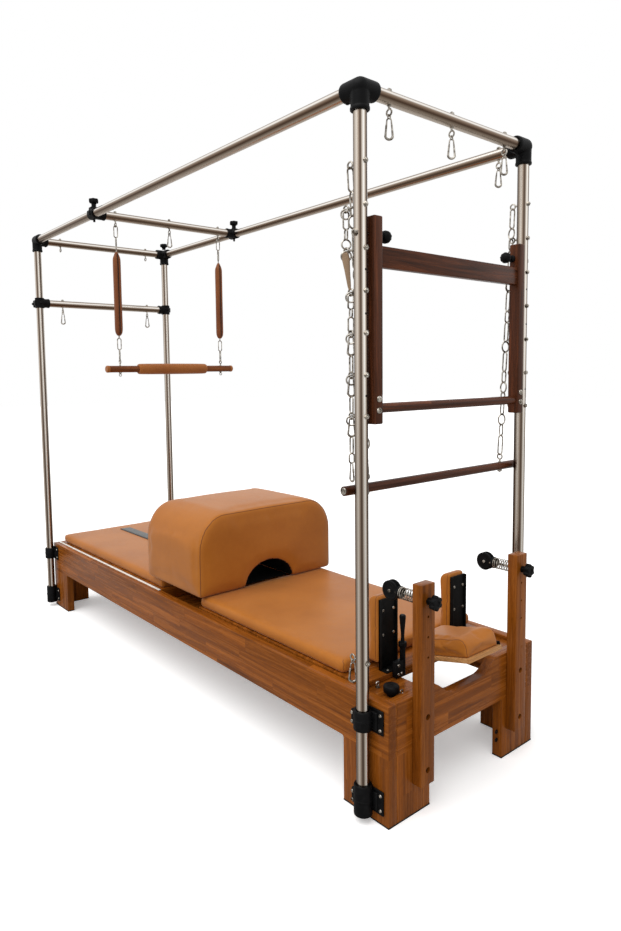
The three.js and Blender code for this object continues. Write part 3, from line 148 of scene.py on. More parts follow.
class NodeSheet:
    """Builds one material's nodes round a Principled shader."""

    def __init__(self, name: str) -> None:
        """Starts an empty material with its shader, output and object coordinates."""
        self.material = bpy.data.materials.new(name)
        self.material.use_nodes = True
        self.tree = self.material.node_tree
        self.tree.nodes.clear()
        self.shader = self.add("ShaderNodeBsdfPrincipled")
        output = self.add("ShaderNodeOutputMaterial")
        self.tree.links.new(self.shader.outputs["BSDF"], output.inputs["Surface"])
        self.place = self.add("ShaderNodeTexCoord").outputs["Object"]

    def add(self, kind: str, **settings: object) -> bpy.types.Node:
        """Adds a node and sets its own properties."""
        node = self.tree.nodes.new(kind)
        for name, value in settings.items():
            setattr(node, name, value)
        return node

    def put(self, socket: Socket, value: object) -> None:
        """Links a socket to another, or sets its number or colour."""
        if isinstance(value, Socket):
            self.tree.links.new(value, socket)
        else:
            socket.default_value = value

    def sums(self, operation: str, *terms: object) -> Socket:
        """A math node's result for up to three terms."""
        node = self.add("ShaderNodeMath", operation=operation)
        for socket, term in zip(node.inputs, terms):
            self.put(socket, term)
        return node.outputs[0]

    def blend(self, factor: object, first: object, second: object, way: str = "MIX") -> Socket:
        """Two colours mixed by a factor."""
        node = self.add("ShaderNodeMix", data_type="RGBA", blend_type=way)
        self.put(node.inputs[0], factor)
        self.put(node.inputs[6], first)
        self.put(node.inputs[7], second)
        return node.outputs[2]

    def ramp(self, factor: object, stops: Sequence[tuple[float, Sequence[float]]]) -> Socket:
        """A colour ramp's colour at a factor."""
        node = self.add("ShaderNodeValToRGB")
        elements = node.color_ramp.elements
        for element, (position, colour) in ((elements[0], stops[0]), (elements[-1], stops[-1])):
            element.position, element.color = position, tuple(colour)
        for position, colour in stops[1:-1]:
            elements.new(position).color = tuple(colour)
        self.put(node.inputs[0], factor)
        return node.outputs[0]

    def greys(self, factor: object, low: float, dark: float, high: float, pale: float) -> Socket:
        """A ramp from one grey to another, between two factors."""
        return self.ramp(factor, [(low, (dark, dark, dark, 1)), (high, (pale, pale, pale, 1))])

    def split(self) -> dict[str, Socket]:
        """The piece's X, Y and Z coordinates as numbers."""
        node = self.add("ShaderNodeSeparateXYZ")
        self.put(node.inputs[0], self.place)
        return {axis: node.outputs[axis] for axis in "XYZ"}

    def either(self, mask: object, first: object, second: object) -> Socket:
        """The second of two numbers where a mask is one, and the first elsewhere."""
        node = self.add("ShaderNodeMix", data_type="FLOAT")
        self.put(node.inputs[0], mask)
        self.put(node.inputs[2], first)
        self.put(node.inputs[3], second)
        return node.outputs[0]

    def gather(self, x: object, y: object, z: object = 0.0) -> Socket:
        """Three numbers as one vector."""
        node = self.add("ShaderNodeCombineXYZ")
        for socket, value in zip(node.inputs, (x, y, z)):
            self.put(socket, value)
        return node.outputs[0]

    def noise(self, vector: object, scale: float, detail: float = 3.0, rough: float = 0.55) -> Socket:
        """A noise texture's value."""
        node = self.add("ShaderNodeTexNoise")
        self.put(node.inputs["Vector"], vector)
        node.inputs["Scale"].default_value = scale
        node.inputs["Detail"].default_value = detail
        node.inputs["Roughness"].default_value = rough
        return node.outputs[0]

    def relief(self, height: object, depth: float, strength: float = 0.5) -> None:
        """Presses a height into the shader's normal."""
        node = self.add("ShaderNodeBump")
        node.inputs["Strength"].default_value = strength
        node.inputs["Distance"].default_value = depth
        self.put(node.inputs["Height"], height)
        self.put(self.shader.inputs["Normal"], node.outputs["Normal"])

    def finish(self, **inputs: object) -> bpy.types.Material:
        """Sets the shader's inputs, with spaces written as underscores, and gives the material back."""
        for name, value in inputs.items():
            self.put(self.shader.inputs[name.replace("_", " ")], value)
        return self.material


@dataclass(frozen=True)
class Finish:
    """A finish by name, with its material slot; its material is made once and shared."""

    name: str
    slot: Slot

    def material(self) -> bpy.types.Material:
        """The finish's material."""
        return bpy.data.materials.get(self.name) or self.make()

    def make(self) -> bpy.types.Material:
        """Builds the material."""
        raise NotImplementedError


@dataclass(frozen=True)
class StaveWood(Finish):
    """Lacquered wood glued up from staves.

    Attributes:
        axes: The axis along the grain, the axis across the staves, and the board's thickness.
        pale, warm, dark: The grain's three colours.
        stave: A stave's length and height in metres.
        contrast: How far one stave's tone may fall below another's.
        leg_top: The height below which the grain stands upright, as in the legs.
    """

    axes: str
    pale: Colour
    warm: Colour
    dark: Colour
    stave: Pair = (0.42, 0.044)
    contrast: float = 0.24
    leg_top: float = 0.0

    def make(self) -> bpy.types.Material:
        """Grain stretched along each stave, darker pores, and thin glue lines."""
        sheet = NodeSheet(self.name)
        place = sheet.split()
        along, across, depth = (place[axis] for axis in self.axes)
        if self.leg_top > 0:
            leg = sheet.sums("LESS_THAN", place["Z"], self.leg_top)
            along, across = sheet.either(leg, along, across), sheet.either(leg, across, along)
        length, height = self.stave
        row = sheet.sums("FLOOR", sheet.sums("DIVIDE", across, height))
        random = sheet.add("ShaderNodeTexWhiteNoise", noise_dimensions="1D")
        sheet.put(random.inputs["W"], sheet.sums("ADD", row, 3.7))
        shifted = sheet.sums("MULTIPLY_ADD", random.outputs["Value"], length, along)
        bricks = sheet.add("ShaderNodeTexBrick", offset=0.0)
        sheet.put(bricks.inputs["Vector"], sheet.gather(shifted, across))
        for name, value in (("Color1", (0, 0, 0, 1)), ("Color2", (1, 1, 1, 1)), ("Mortar", (0.5, 0.5, 0.5, 1)),
                            ("Scale", 1.0), ("Mortar Size", 0.0007), ("Mortar Smooth", 0.3),
                            ("Brick Width", length), ("Row Height", height)):
            bricks.inputs[name].default_value = value
        tone, joint = bricks.outputs["Color"], bricks.outputs["Fac"]
        grain = sheet.noise(sheet.gather(
            sheet.sums("MULTIPLY_ADD", along, 2.6, sheet.sums("MULTIPLY", tone, 9.0)),
            sheet.sums("MULTIPLY", across, 52.0), sheet.sums("MULTIPLY", depth, 52.0)), 1.0, 5.0, 0.62)
        grain.node.inputs["Distortion"].default_value = 0.7
        pores = sheet.noise(sheet.gather(
            sheet.sums("MULTIPLY", along, 38.0), sheet.sums("MULTIPLY", across, 760.0),
            sheet.sums("MULTIPLY", depth, 760.0)), 1.0, 2.0, 0.6)
        colour = sheet.ramp(grain, [(0.26, self.dark), (0.5, self.warm), (0.74, self.pale)])
        colour = sheet.blend(1.0, colour, sheet.greys(tone, 0.0, 1.0 - self.contrast, 1.0, 1.08), "MULTIPLY")
        colour = sheet.blend(0.45, colour, sheet.greys(pores, 0.36, 0.4, 0.47, 1.0), "MULTIPLY")
        colour = sheet.blend(sheet.sums("MULTIPLY", joint, 0.55), colour, self.dark)
        if self.leg_top > 0:
            reach = sheet.sums("ABSOLUTE", sheet.sums("SUBTRACT", place["X"], DATUM_X))
            cut = sheet.sums("GREATER_THAN", place["Z"], self.leg_top)
            for value, least in ((reach, 1.2688), (sheet.sums("ABSOLUTE", place["Y"]), 0.341)):
                cut = sheet.sums("MULTIPLY", cut, sheet.sums("GREATER_THAN", value, least))
            colour = sheet.blend(sheet.sums("MULTIPLY", cut, 0.6), colour, self.dark)
        sheet.relief(sheet.sums("SUBTRACT", sheet.sums("MULTIPLY", pores, 0.6), joint), 0.0003, 0.35)
        rough = sheet.sums("MULTIPLY_ADD", grain, 0.14, 0.2)
        return sheet.finish(Base_Color=colour, Roughness=rough, IOR=1.23)


@dataclass(frozen=True)
class Leather(Finish):
    """Smooth upholstery leather with a fine grain."""

    colour: Colour
    shade: Colour
    roughness: float = 0.46

    def make(self) -> bpy.types.Material:
        """Soft mottling, fine cells in relief and a slight change of gloss."""
        sheet = NodeSheet(self.name)
        cells = sheet.add("ShaderNodeTexVoronoi", feature="F1")
        sheet.put(cells.inputs["Vector"], sheet.place)
        cells.inputs["Scale"].default_value = 620.0
        folds = sheet.noise(sheet.place, 55.0, 4.0)
        mottle = sheet.noise(sheet.place, 4.5, 3.0)
        colour = sheet.ramp(mottle, [(0.32, self.shade), (0.62, self.colour)])
        colour = sheet.blend(0.35, colour, sheet.greys(folds, 0.3, 0.86, 0.7, 1.0), "MULTIPLY")
        sheet.relief(sheet.sums("MULTIPLY_ADD", cells.outputs["Distance"], -0.7, folds), 0.0004, 0.22)
        rough = sheet.sums("MULTIPLY_ADD", folds, 0.16, self.roughness - 0.08)
        return sheet.finish(Base_Color=colour, Roughness=rough, IOR=1.27, Sheen_Weight=0.12)


# Painted reflections for tube steel: near-white and dark brown bands laid round a tube by which way its surface faces.
UPRIGHT_PAINTED_REFLECTIONS = ((0.0, (70, 58, 50)), (0.07, (150, 136, 122)), (0.2, (226, 216, 204)), (0.32, (160, 142, 126)),
                 (0.41, (98, 82, 70)), (0.5, (96, 80, 68)), (0.6, (200, 188, 174)), (0.72, (255, 252, 246)),
                 (0.82, (190, 176, 160)), (0.88, (84, 66, 56)), (0.94, (60, 48, 40)), (1.0, (200, 190, 178)))
LEVEL_PAINTED_REFLECTIONS = ((0.0, (205, 192, 178)), (0.12, (150, 134, 118)), (0.24, (88, 68, 54)), (0.38, (112, 92, 76)),
               (0.52, (150, 132, 116)), (0.64, (250, 246, 240)), (0.74, (226, 216, 204)), (0.84, (96, 80, 68)),
               (0.92, (180, 168, 156)), (1.0, (120, 108, 98)))


@dataclass(frozen=True)
class BrushedSteel(Finish):
    """Stainless steel with brush lines; along a tube, painted reflections in pale and dark brown bands.

    Attributes:
        axis: The tube's axis, or an empty text for small pieces with no one direction.
    """

    axis: str = ""

    def make(self) -> bpy.types.Material:
        """Fine lines along the axis; on tubes, painted reflections in bands from pale to dark brown, set by which way
        the surface faces and shifted by broad noise.
        """
        sheet = NodeSheet(self.name)
        place = sheet.split()
        fine, broad = (
            sheet.gather(*(
                sheet.sums("MULTIPLY", place[axis], slow if axis == self.axis else quick) for axis in "XYZ"))
            for slow, quick in ((3.0, 900.0), (0.35, 74.0)))
        if self.axis:
            # Painted reflection: the surface's facing against a fixed direction picks a pale or a dark band.
            facing = sheet.add("ShaderNodeVectorMath", operation="DOT_PRODUCT")
            sheet.put(facing.inputs[0], sheet.place.node.outputs["Normal"])
            facing.inputs[1].default_value = (0.31, 0.39, 0) if self.axis == "Z" else (0, 0, 0.5)
            drift = sheet.sums("MULTIPLY_ADD", sheet.noise(broad, 1.0, 1.0, 0.4), 0.16, 0.42)
            band = sheet.sums("ADD", facing.outputs["Value"], drift)
            reflection_tones = UPRIGHT_PAINTED_REFLECTIONS if self.axis == "Z" else LEVEL_PAINTED_REFLECTIONS
            colour = sheet.ramp(band, [(where, paint(*tone)) for where, tone in reflection_tones])
            lines = sheet.noise(fine, 1.0, 2.0, 0.6)
        else:
            lines = sheet.noise(sheet.place, 70.0, 2.0)
            colour = sheet.ramp(lines, [(0.35, paint(92, 84, 74)), (0.65, paint(206, 200, 190))])
        sheet.relief(lines, 0.00008, 0.25)
        return sheet.finish(
            Base_Color=colour, Metallic=1.0, Roughness=sheet.sums("MULTIPLY_ADD", lines, 0.2, 0.16))


@dataclass(frozen=True)
class Moulded(Finish):
    """Moulded plastic, rubber or painted metal in one dark colour."""

    colour: Colour
    roughness: float = 0.42

    def make(self) -> bpy.types.Material:
        """A fine texture, and worn, slightly paler patches."""
        sheet = NodeSheet(self.name)
        grit = sheet.noise(sheet.place, 900.0, 2.0)
        wear = sheet.noise(sheet.place, 38.0, 3.0)
        worn = (*(min(value * 1.7 + 0.002, 1.0) for value in self.colour[:3]), 1.0)
        sheet.relief(grit, 0.00012, 0.3)
        rough = sheet.sums("MULTIPLY_ADD", wear, 0.18, self.roughness - 0.08)
        return sheet.finish(
            Base_Color=sheet.ramp(wear, [(0.45, self.colour), (0.78, worn)]), Roughness=rough, IOR=1.19)


@dataclass(frozen=True)
class Webbing(Finish):
    """Woven strap."""

    colour: Colour
    shade: Colour

    def make(self) -> bpy.types.Material:
        """Crossing ribs in colour and relief."""
        sheet = NodeSheet(self.name)
        place = sheet.split()
        warp = sheet.sums("SINE", sheet.sums("MULTIPLY", place["Y"], 3900.0))
        weft = sheet.sums("SINE", sheet.sums("MULTIPLY", place["X"], 2600.0))
        weave = sheet.sums("MULTIPLY", warp, weft)
        colour = sheet.blend(sheet.noise(sheet.place, 160.0, 3.0), self.shade, self.colour)
        colour = sheet.blend(0.4, colour, sheet.greys(weave, 0.0, 0.55, 1.0, 1.0), "MULTIPLY")
        sheet.relief(weave, 0.0003, 0.5)
        return sheet.finish(Base_Color=colour, Roughness=0.8, Sheen_Weight=0.2)


OAK = {"pale": paint(178, 104, 38), "warm": paint(146, 80, 21), "dark": paint(104, 54, 14)}
WALNUT = {"pale": paint(124, 68, 40), "warm": paint(84, 45, 26), "dark": paint(40, 21, 13)}
LEG_TOP = 0.204
PLAIN = (2.4, 0.3)
OAK_RAIL = StaveWood("oak_staves_along", Slot.OAK, "XZY", leg_top=LEG_TOP, **OAK)
OAK_END = StaveWood("oak_staves_across", Slot.OAK, "YZX", leg_top=LEG_TOP, **OAK)
OAK_DECK = StaveWood("oak_deck", Slot.OAK, "YXZ", stave=(0.6, 0.05), **OAK)
OAK_POST = StaveWood("oak_upright_grain", Slot.OAK, "ZYX", stave=PLAIN, **OAK)
WALNUT_POST = StaveWood("walnut_upright_grain", Slot.WALNUT, "ZYX", stave=PLAIN, **WALNUT)
WALNUT_CROSS = StaveWood("walnut_cross_grain", Slot.WALNUT, "YZX", stave=PLAIN, **WALNUT)
BAR_WOOD = StaveWood("trapeze_bar_wood", Slot.BROWN, "YZX", pale=paint(150, 88, 46), warm=paint(118, 66, 34),
                     dark=paint(70, 36, 18), stave=PLAIN)
PLYWOOD = StaveWood("birch_ply", Slot.PLY, "YZX", pale=paint(226, 178, 122), warm=paint(204, 150, 94),
                    dark=paint(160, 104, 58), stave=(1.2, 0.0035), contrast=0.22)
TAN = Leather("tan_leather", Slot.LEATHER, paint(180, 109, 36), paint(168, 99, 28), 0.4)
SEAM = Leather("seam_leather", Slot.LEATHER, paint(112, 60, 30), paint(92, 48, 22), 0.5)
# Near black for the arch's inside: painted shade standing in for the shadow in the tunnel.
ARCH_PAINTED_SHADE = Moulded("arch_painted_shade", Slot.LEATHER, paint(6, 5, 4), 0.95)
STRAP_LEATHER = Leather("strap_leather", Slot.BROWN, paint(140, 82, 44), paint(118, 64, 34), 0.42)
STRAP_SEAM = Leather("strap_seam_leather", Slot.BROWN, paint(44, 22, 13), paint(36, 18, 11), 0.5)
LOOP_LEATHER = Leather("spare_loop_leather", Slot.BROWN, paint(156, 130, 104), paint(108, 84, 64), 0.5)
GRIP_LEATHER = Leather("grip_leather", Slot.BROWN, paint(170, 104, 48), paint(154, 90, 40), 0.45)
# Tube steel, with painted reflections in its colour.
STEEL_X, STEEL_Y, STEEL_Z = (BrushedSteel(f"steel_along_{axis.lower()}", Slot.STEEL, axis) for axis in "XYZ")
BRIGHT = BrushedSteel("bright_steel", Slot.STEEL)
BLACK = Moulded("black_plastic", Slot.BLACK, paint(9, 9, 10), 0.45)
BLACK_METAL = Moulded("black_powder_coat", Slot.BLACK, paint(9, 9, 9), 0.5)
PALE_EDGE = Moulded("pale_board_edge", Slot.PLY, paint(232, 226, 216), 0.4)
RUBBER = Moulded("black_rubber", Slot.BLACK, paint(30, 29, 28), 0.7)
STRAP_GREY = Webbing("grey_webbing", Slot.WEBBING, paint(118, 120, 118), paint(84, 86, 86))
# Black webbing: the head rest's prop strap, and also the band along the mat strap's near edge, which is painted
# shadow.
BLACK_WEBBING_AND_EDGE_SHADOW = Webbing("black_webbing", Slot.WEBBING, paint(34, 34, 36), paint(20, 20, 22))


# Workbench


def clear_selection() -> None:
    """Leaves edit mode and deselects everything."""
    if bpy.context.mode != "OBJECT":
        bpy.ops.object.mode_set(mode="OBJECT")
    bpy.ops.object.select_all(action="DESELECT")


def activate(piece: Piece) -> None:
    """Makes a piece the only selected one, and the active one."""
    clear_selection()
    piece.select_set(True)
    bpy.context.view_layer.objects.active = piece


@contextmanager
def editing(piece: Piece) -> Iterator[None]:
    """Edit mode on a piece, with all of it selected at the start."""
    activate(piece)
    bpy.ops.object.mode_set(mode="EDIT")
    bpy.ops.mesh.select_all(action="SELECT")
    yield
    bpy.ops.object.mode_set(mode="OBJECT")


def pick(piece: Piece, what: Pick, wanted: Callable[[Vector], bool]) -> None:
    """Selects what passes a test, in edit mode.

    Args:
        piece: The piece being edited.
        what: Vertices or faces.
        wanted: Takes an element's place and says whether it is wanted.
    """
    bpy.ops.mesh.select_mode(type=what.value)
    bpy.ops.mesh.select_all(action="DESELECT")
    mesh = bmesh.from_edit_mesh(piece.data)
    for item in (mesh.verts if what is Pick.VERTICES else mesh.faces):
        if wanted(item.co if what is Pick.VERTICES else item.calc_center_median()):
            item.select_set(True)
    mesh.select_flush_mode()
    bmesh.update_edit_mesh(piece.data)


def modified(piece: Piece, kind: str, **settings: object) -> Piece:
    """Adds a modifier, sets it and applies it."""
    activate(piece)
    modifier = piece.modifiers.new(kind.title(), kind)
    for name, value in settings.items():
        setattr(modifier, name, value)
    bpy.ops.object.modifier_apply(modifier=modifier.name)
    return piece


def smoothed(piece: Piece, degrees: float = 38.0) -> Piece:
    """Shades a piece smooth, but for edges sharper than an angle."""
    activate(piece)
    bpy.ops.object.shade_smooth_by_angle(angle=math.radians(degrees))
    return piece


def outward(piece: Piece) -> Piece:
    """Merges doubles and turns the faces outwards."""
    with editing(piece):
        bpy.ops.mesh.remove_doubles(threshold=TINY)
        bpy.ops.mesh.normals_make_consistent(inside=False)
    return piece


def turned(name: str, profile: Profile, sides: int = 32, place: Matrix = HERE) -> Piece:
    """A piece turned round +Z, as on a lathe: a disc that is extruded and resized step by step.

    Args:
        name: The piece's name.
        profile: Radius and height of each step, from the bottom.
        sides: How many sides stand for the round.
        place: Where it goes once it is made.

    Returns:
        The piece.
    """
    clear_selection()
    (radius, height), *steps = profile
    bpy.ops.mesh.primitive_circle_add(vertices=sides, radius=radius * MM, fill_type="NGON")
    piece = bpy.context.object
    piece.name = name
    with editing(piece):
        bpy.ops.transform.translate(value=(0, 0, height * MM))
        for wide, high in steps:
            bpy.ops.mesh.extrude_region_move(
                TRANSFORM_OT_translate={"value": (0, 0, (high - height) * MM)})
            ratio = wide / radius
            if abs(ratio - 1) > TINY:
                bpy.ops.transform.resize(value=(ratio, ratio, 1), center_override=(0, 0, high * MM))
            radius, height = wide, high
        bpy.ops.mesh.select_all(action="SELECT")
        bpy.ops.mesh.normals_make_consistent(inside=False)
    smoothed(piece).data.transform(place)
    return piece


def round_bar(name: str, start: Vector, end: Vector, radius: float, sides: int = 40, chamfer: float = 0.8) -> Piece:
    """A straight round bar between two points, with its ends chamfered."""
    length = (end - start).length / MM
    return turned(name, [
        (radius - chamfer, 0), (radius, chamfer), (radius, length - chamfer), (radius - chamfer, length)],
        sides, aimed(start, end - start))


def slab(name: str, x: Sequence[float], y: Sequence[float], z: Sequence[float], rounding: float = 1.0,
         segments: int = 2, local: bool = False) -> Piece:
    """A board between two values on each axis, with rounded edges.

    Args:
        name: The piece's name.
        x: Its two ends along X, and likewise y and z.
        y: See x.
        z: See x.
        rounding: The radius of its edges.
        segments: How many steps each rounding has.
        local: True for a pattern that isn't in the drawing's frame.

    Returns:
        The piece.
    """
    clear_selection()
    bpy.ops.mesh.primitive_cube_add(size=1.0)
    piece = bpy.context.object
    piece.name = name
    size = Vector((abs(x[1] - x[0]), abs(y[1] - y[0]), abs(z[1] - z[0]))) * MM
    middle = Vector(((x[0] + x[1]) / 2, (y[0] + y[1]) / 2, (z[0] + z[1]) / 2))
    middle = middle * MM if local else spot(*middle)
    with editing(piece):
        bpy.ops.transform.resize(value=size, center_override=(0, 0, 0))
        bpy.ops.transform.translate(value=middle)
        if rounding > 0:
            bpy.ops.mesh.bevel(offset=rounding * MM, segments=segments, affect="EDGES")
    return smoothed(piece)


def ring(name: str, radius: float, wire: float, stretch: float = 0.0, waist: float = 1.0, steps: int = 28,
         place: Matrix = HERE) -> Piece:
    """A ring or long link of round wire in the local XZ plane, hanging down from the origin.

    Args:
        name: The piece's name.
        radius: The bight's radius, to the wire's middle.
        wire: The wire's radius.
        stretch: How much longer than round it is.
        waist: How much wider the lower half is than the upper.
        steps: Segments round the ring.
        place: Where it goes once it is made.

    Returns:
        The piece.
    """
    clear_selection()
    bpy.ops.mesh.primitive_torus_add(
        major_radius=radius * MM, minor_radius=wire * MM, major_segments=steps, minor_segments=10)
    piece = bpy.context.object
    piece.name = name
    with editing(piece):
        bpy.ops.transform.rotate(value=math.pi / 2, orient_axis="X", center_override=(0, 0, 0))
        middle = -(radius + wire) * MM
        bpy.ops.transform.translate(value=(0, 0, middle))
        if stretch > 0:
            pick(piece, Pick.VERTICES, lambda point: point.z < middle - 1e-5)
            bpy.ops.transform.translate(value=(0, 0, -stretch * MM))
            if waist != 1.0:
                bpy.ops.transform.resize(
                    value=(waist, 1, waist), center_override=(0, 0, middle - stretch * MM))
    smoothed(piece, 60).data.transform(place)
    return piece


def joined(name: str, *pieces: Piece) -> Piece:
    """Several pieces as one mesh."""
    activate(pieces[0])
    for piece in pieces:
        piece.select_set(True)
    if len(pieces) > 1:
        bpy.ops.object.join()
    pieces[0].name = name
    return pieces[0]


def copied(pattern: Piece, name: str, placement: Matrix) -> Piece:
    """A copy of a pattern with its own mesh, put in its place."""
    piece = bpy.data.objects.new(name, pattern.data.copy())
    bpy.context.scene.collection.objects.link(piece)
    piece.data.transform(placement)
    if placement.determinant() < 0:
        piece.data.flip_normals()
    return piece


def scrap(*pieces: Piece) -> None:
    """Removes pieces that were only needed while others were made."""
    for piece in pieces:
        bpy.data.objects.remove(piece, do_unlink=True)


def carved(piece: Piece, *cutters: Piece) -> Piece:
    """A piece with cutters' shapes taken out of it."""
    cutter = joined("cutter", *cutters)
    modified(piece, "BOOLEAN", operation="DIFFERENCE", solver="EXACT", object=cutter)
    scrap(cutter)
    return smoothed(piece)


def from_drawing(node: str, name: str, rounding: float = 0.0, segments: int = 3) -> Piece:
    """A copy of a drawn solid, with its loose triangles merged and its edges rounded.

    Args:
        node: The solid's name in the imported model.
        name: The new piece's name.
        rounding: The radius of its edges.
        segments: How many steps each rounding has.

    Returns:
        The piece.
    """
    piece = bpy.data.objects.new(name, frame["nodes"][node].data.copy())
    bpy.context.scene.collection.objects.link(piece)
    piece.data.materials.clear()
    with editing(piece):
        bpy.ops.mesh.customdata_custom_splitnormals_clear()
        bpy.ops.mesh.remove_doubles(threshold=1e-5)
        bpy.ops.mesh.dissolve_limited(angle_limit=math.radians(1.0))
    if rounding > 0:
        modified(piece, "BEVEL", width=rounding * MM, segments=segments, limit_method="ANGLE",
                 angle_limit=SHARP, use_clamp_overlap=False)
    return smoothed(piece)


def fitted(piece: Piece, finish: Finish, body: Body, *nodes: str, slot: Slot | None = None) -> Piece:
    """Gives a finished piece its finish and its body.

    Args:
        piece: The piece, in its place.
        finish: Its finish, which takes the place of any material that it has, but for a second one.
        body: The body it rides on.
        nodes: The drawn solids that it stands for.
        slot: Not used.

    Returns:
        The piece.
    """
    if len(piece.data.materials) < 2:
        piece.data.materials.clear()
        piece.data.materials.append(finish.material())
    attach(piece, body.value)
    if nodes:
        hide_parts(*nodes)
    LOG.info("%s rides on %s: %d faces", piece.name, body.value, len(piece.data.polygons))
    return piece


def blended(piece: Piece, voxel: float, smooth_steps: int = 6) -> Piece:
    """Joins overlapping solids into one moulding with soft inner corners."""
    modified(piece, "REMESH", mode="VOXEL", voxel_size=voxel * MM, use_smooth_shade=True)
    modified(piece, "SMOOTH", factor=0.5, iterations=smooth_steps)
    return piece


def seam(name: str, surface: Piece, points: Sequence[Vector], radius: float, closed: bool = False,
         sink: float = 0.35) -> Piece:
    """A sewn seam as a thin cord along a cushion's surface.

    Args:
        name: The seam's name.
        surface: The cushion.
        points: The way it takes, near the surface.
        radius: The cord's radius.
        closed: True if it comes back to its start.
        sink: How much of its radius lies in the surface.

    Returns:
        The seam.
    """
    bpy.context.view_layer.update()
    curve = bpy.data.curves.new(name, "CURVE")
    curve.dimensions = "3D"
    curve.bevel_depth = radius * MM
    curve.bevel_resolution = 2
    curve.use_fill_caps = True
    spline = curve.splines.new("POLY")
    spline.points.add(len(points) - 1)
    spline.use_cyclic_u = closed
    for target, point in zip(spline.points, points):
        _, place, normal, _ = surface.closest_point_on_mesh(point)
        target.co = (*(place - normal * radius * MM * sink), 1.0)
    piece = bpy.data.objects.new(name, curve)
    bpy.context.scene.collection.objects.link(piece)
    activate(piece)
    bpy.ops.object.convert(target="MESH")
    return smoothed(bpy.context.object, 60)


def along(*corners: Vector, step: float = 6.0) -> list[Vector]:
    """Points a few millimetres apart along straight runs between corners."""
    points = []
    for start, end in zip(corners, corners[1:]):
        count = max(int((end - start).length / (step * MM)), 1)
        points += [start.lerp(end, i / count) for i in range(count)]
    return [*points, corners[-1]]


@dataclass
class Stuffing:
    """How a cushion is swelled.

    Attributes:
        voxel: The size of its remeshed faces.
        pressure: The pressure inside it.
        cap: How far a point may move.
        bottom: The height that it rests on, or None.
        calm: How many smoothing steps draw the leather taut afterwards.
        frames: How many frames of cloth are run.
    """

    voxel: float
    pressure: float = 4.0
    cap: float = 6.0
    bottom: float | None = None
    calm: int = 5
    frames: int = 20

    def swell(self, piece: Piece, held: Callable[[np.ndarray], np.ndarray] | None = None) -> Piece:
        """Remeshes a slightly small form and blows it up as cloth.

        Args:
            piece: The cushion's form.
            held: Takes the points and gives how free each is, from 0 to 1.

        Returns:
            The cushion.
        """
        modified(piece, "REMESH", mode="VOXEL", voxel_size=self.voxel * MM, use_smooth_shade=True)
        modified(piece, "SMOOTH", factor=0.5, iterations=3)
        rest = self.points(piece)
        self.simulate(piece)
        moved = self.points(piece) - rest
        reach = np.linalg.norm(moved, axis=1, keepdims=True)
        moved *= np.minimum(1.0, self.cap * MM / np.maximum(reach, 1e-9))
        if held is not None:
            moved *= held(rest)[:, None]
        places = rest + moved
        if self.bottom is not None:
            places[:, 2] = np.maximum(places[:, 2], self.bottom * MM)
        piece.data.vertices.foreach_set("co", places.ravel())
        piece.data.update()
        modified(piece, "SMOOTH", factor=0.5, iterations=self.calm)
        activate(piece)
        bpy.ops.object.shade_smooth()
        return piece

    def points(self, piece: Piece) -> np.ndarray:
        """A piece's points as rows."""
        places = np.zeros(len(piece.data.vertices) * 3)
        piece.data.vertices.foreach_get("co", places)
        return places.reshape(-1, 3)

    def simulate(self, piece: Piece) -> None:
        """Runs some frames of pressed cloth and applies them."""
        activate(piece)
        cloth = piece.modifiers.new("Stuffing", "CLOTH")
        cloth.settings.effector_weights.gravity = 0
        for name, value in (
                ("quality", 5), ("use_pressure", True), ("uniform_pressure_force", self.pressure),
                ("tension_stiffness", 20), ("compression_stiffness", 20), ("bending_stiffness", 2)):
            setattr(cloth.settings, name, value)
        cloth.point_cache.frame_start = 1
        cloth.point_cache.frame_end = self.frames
        scene = bpy.context.scene
        for number in range(1, self.frames + 1):
            scene.frame_set(number)
        bpy.ops.object.modifier_apply(modifier=cloth.name)
        scene.frame_set(1)


# Hardware that repeats


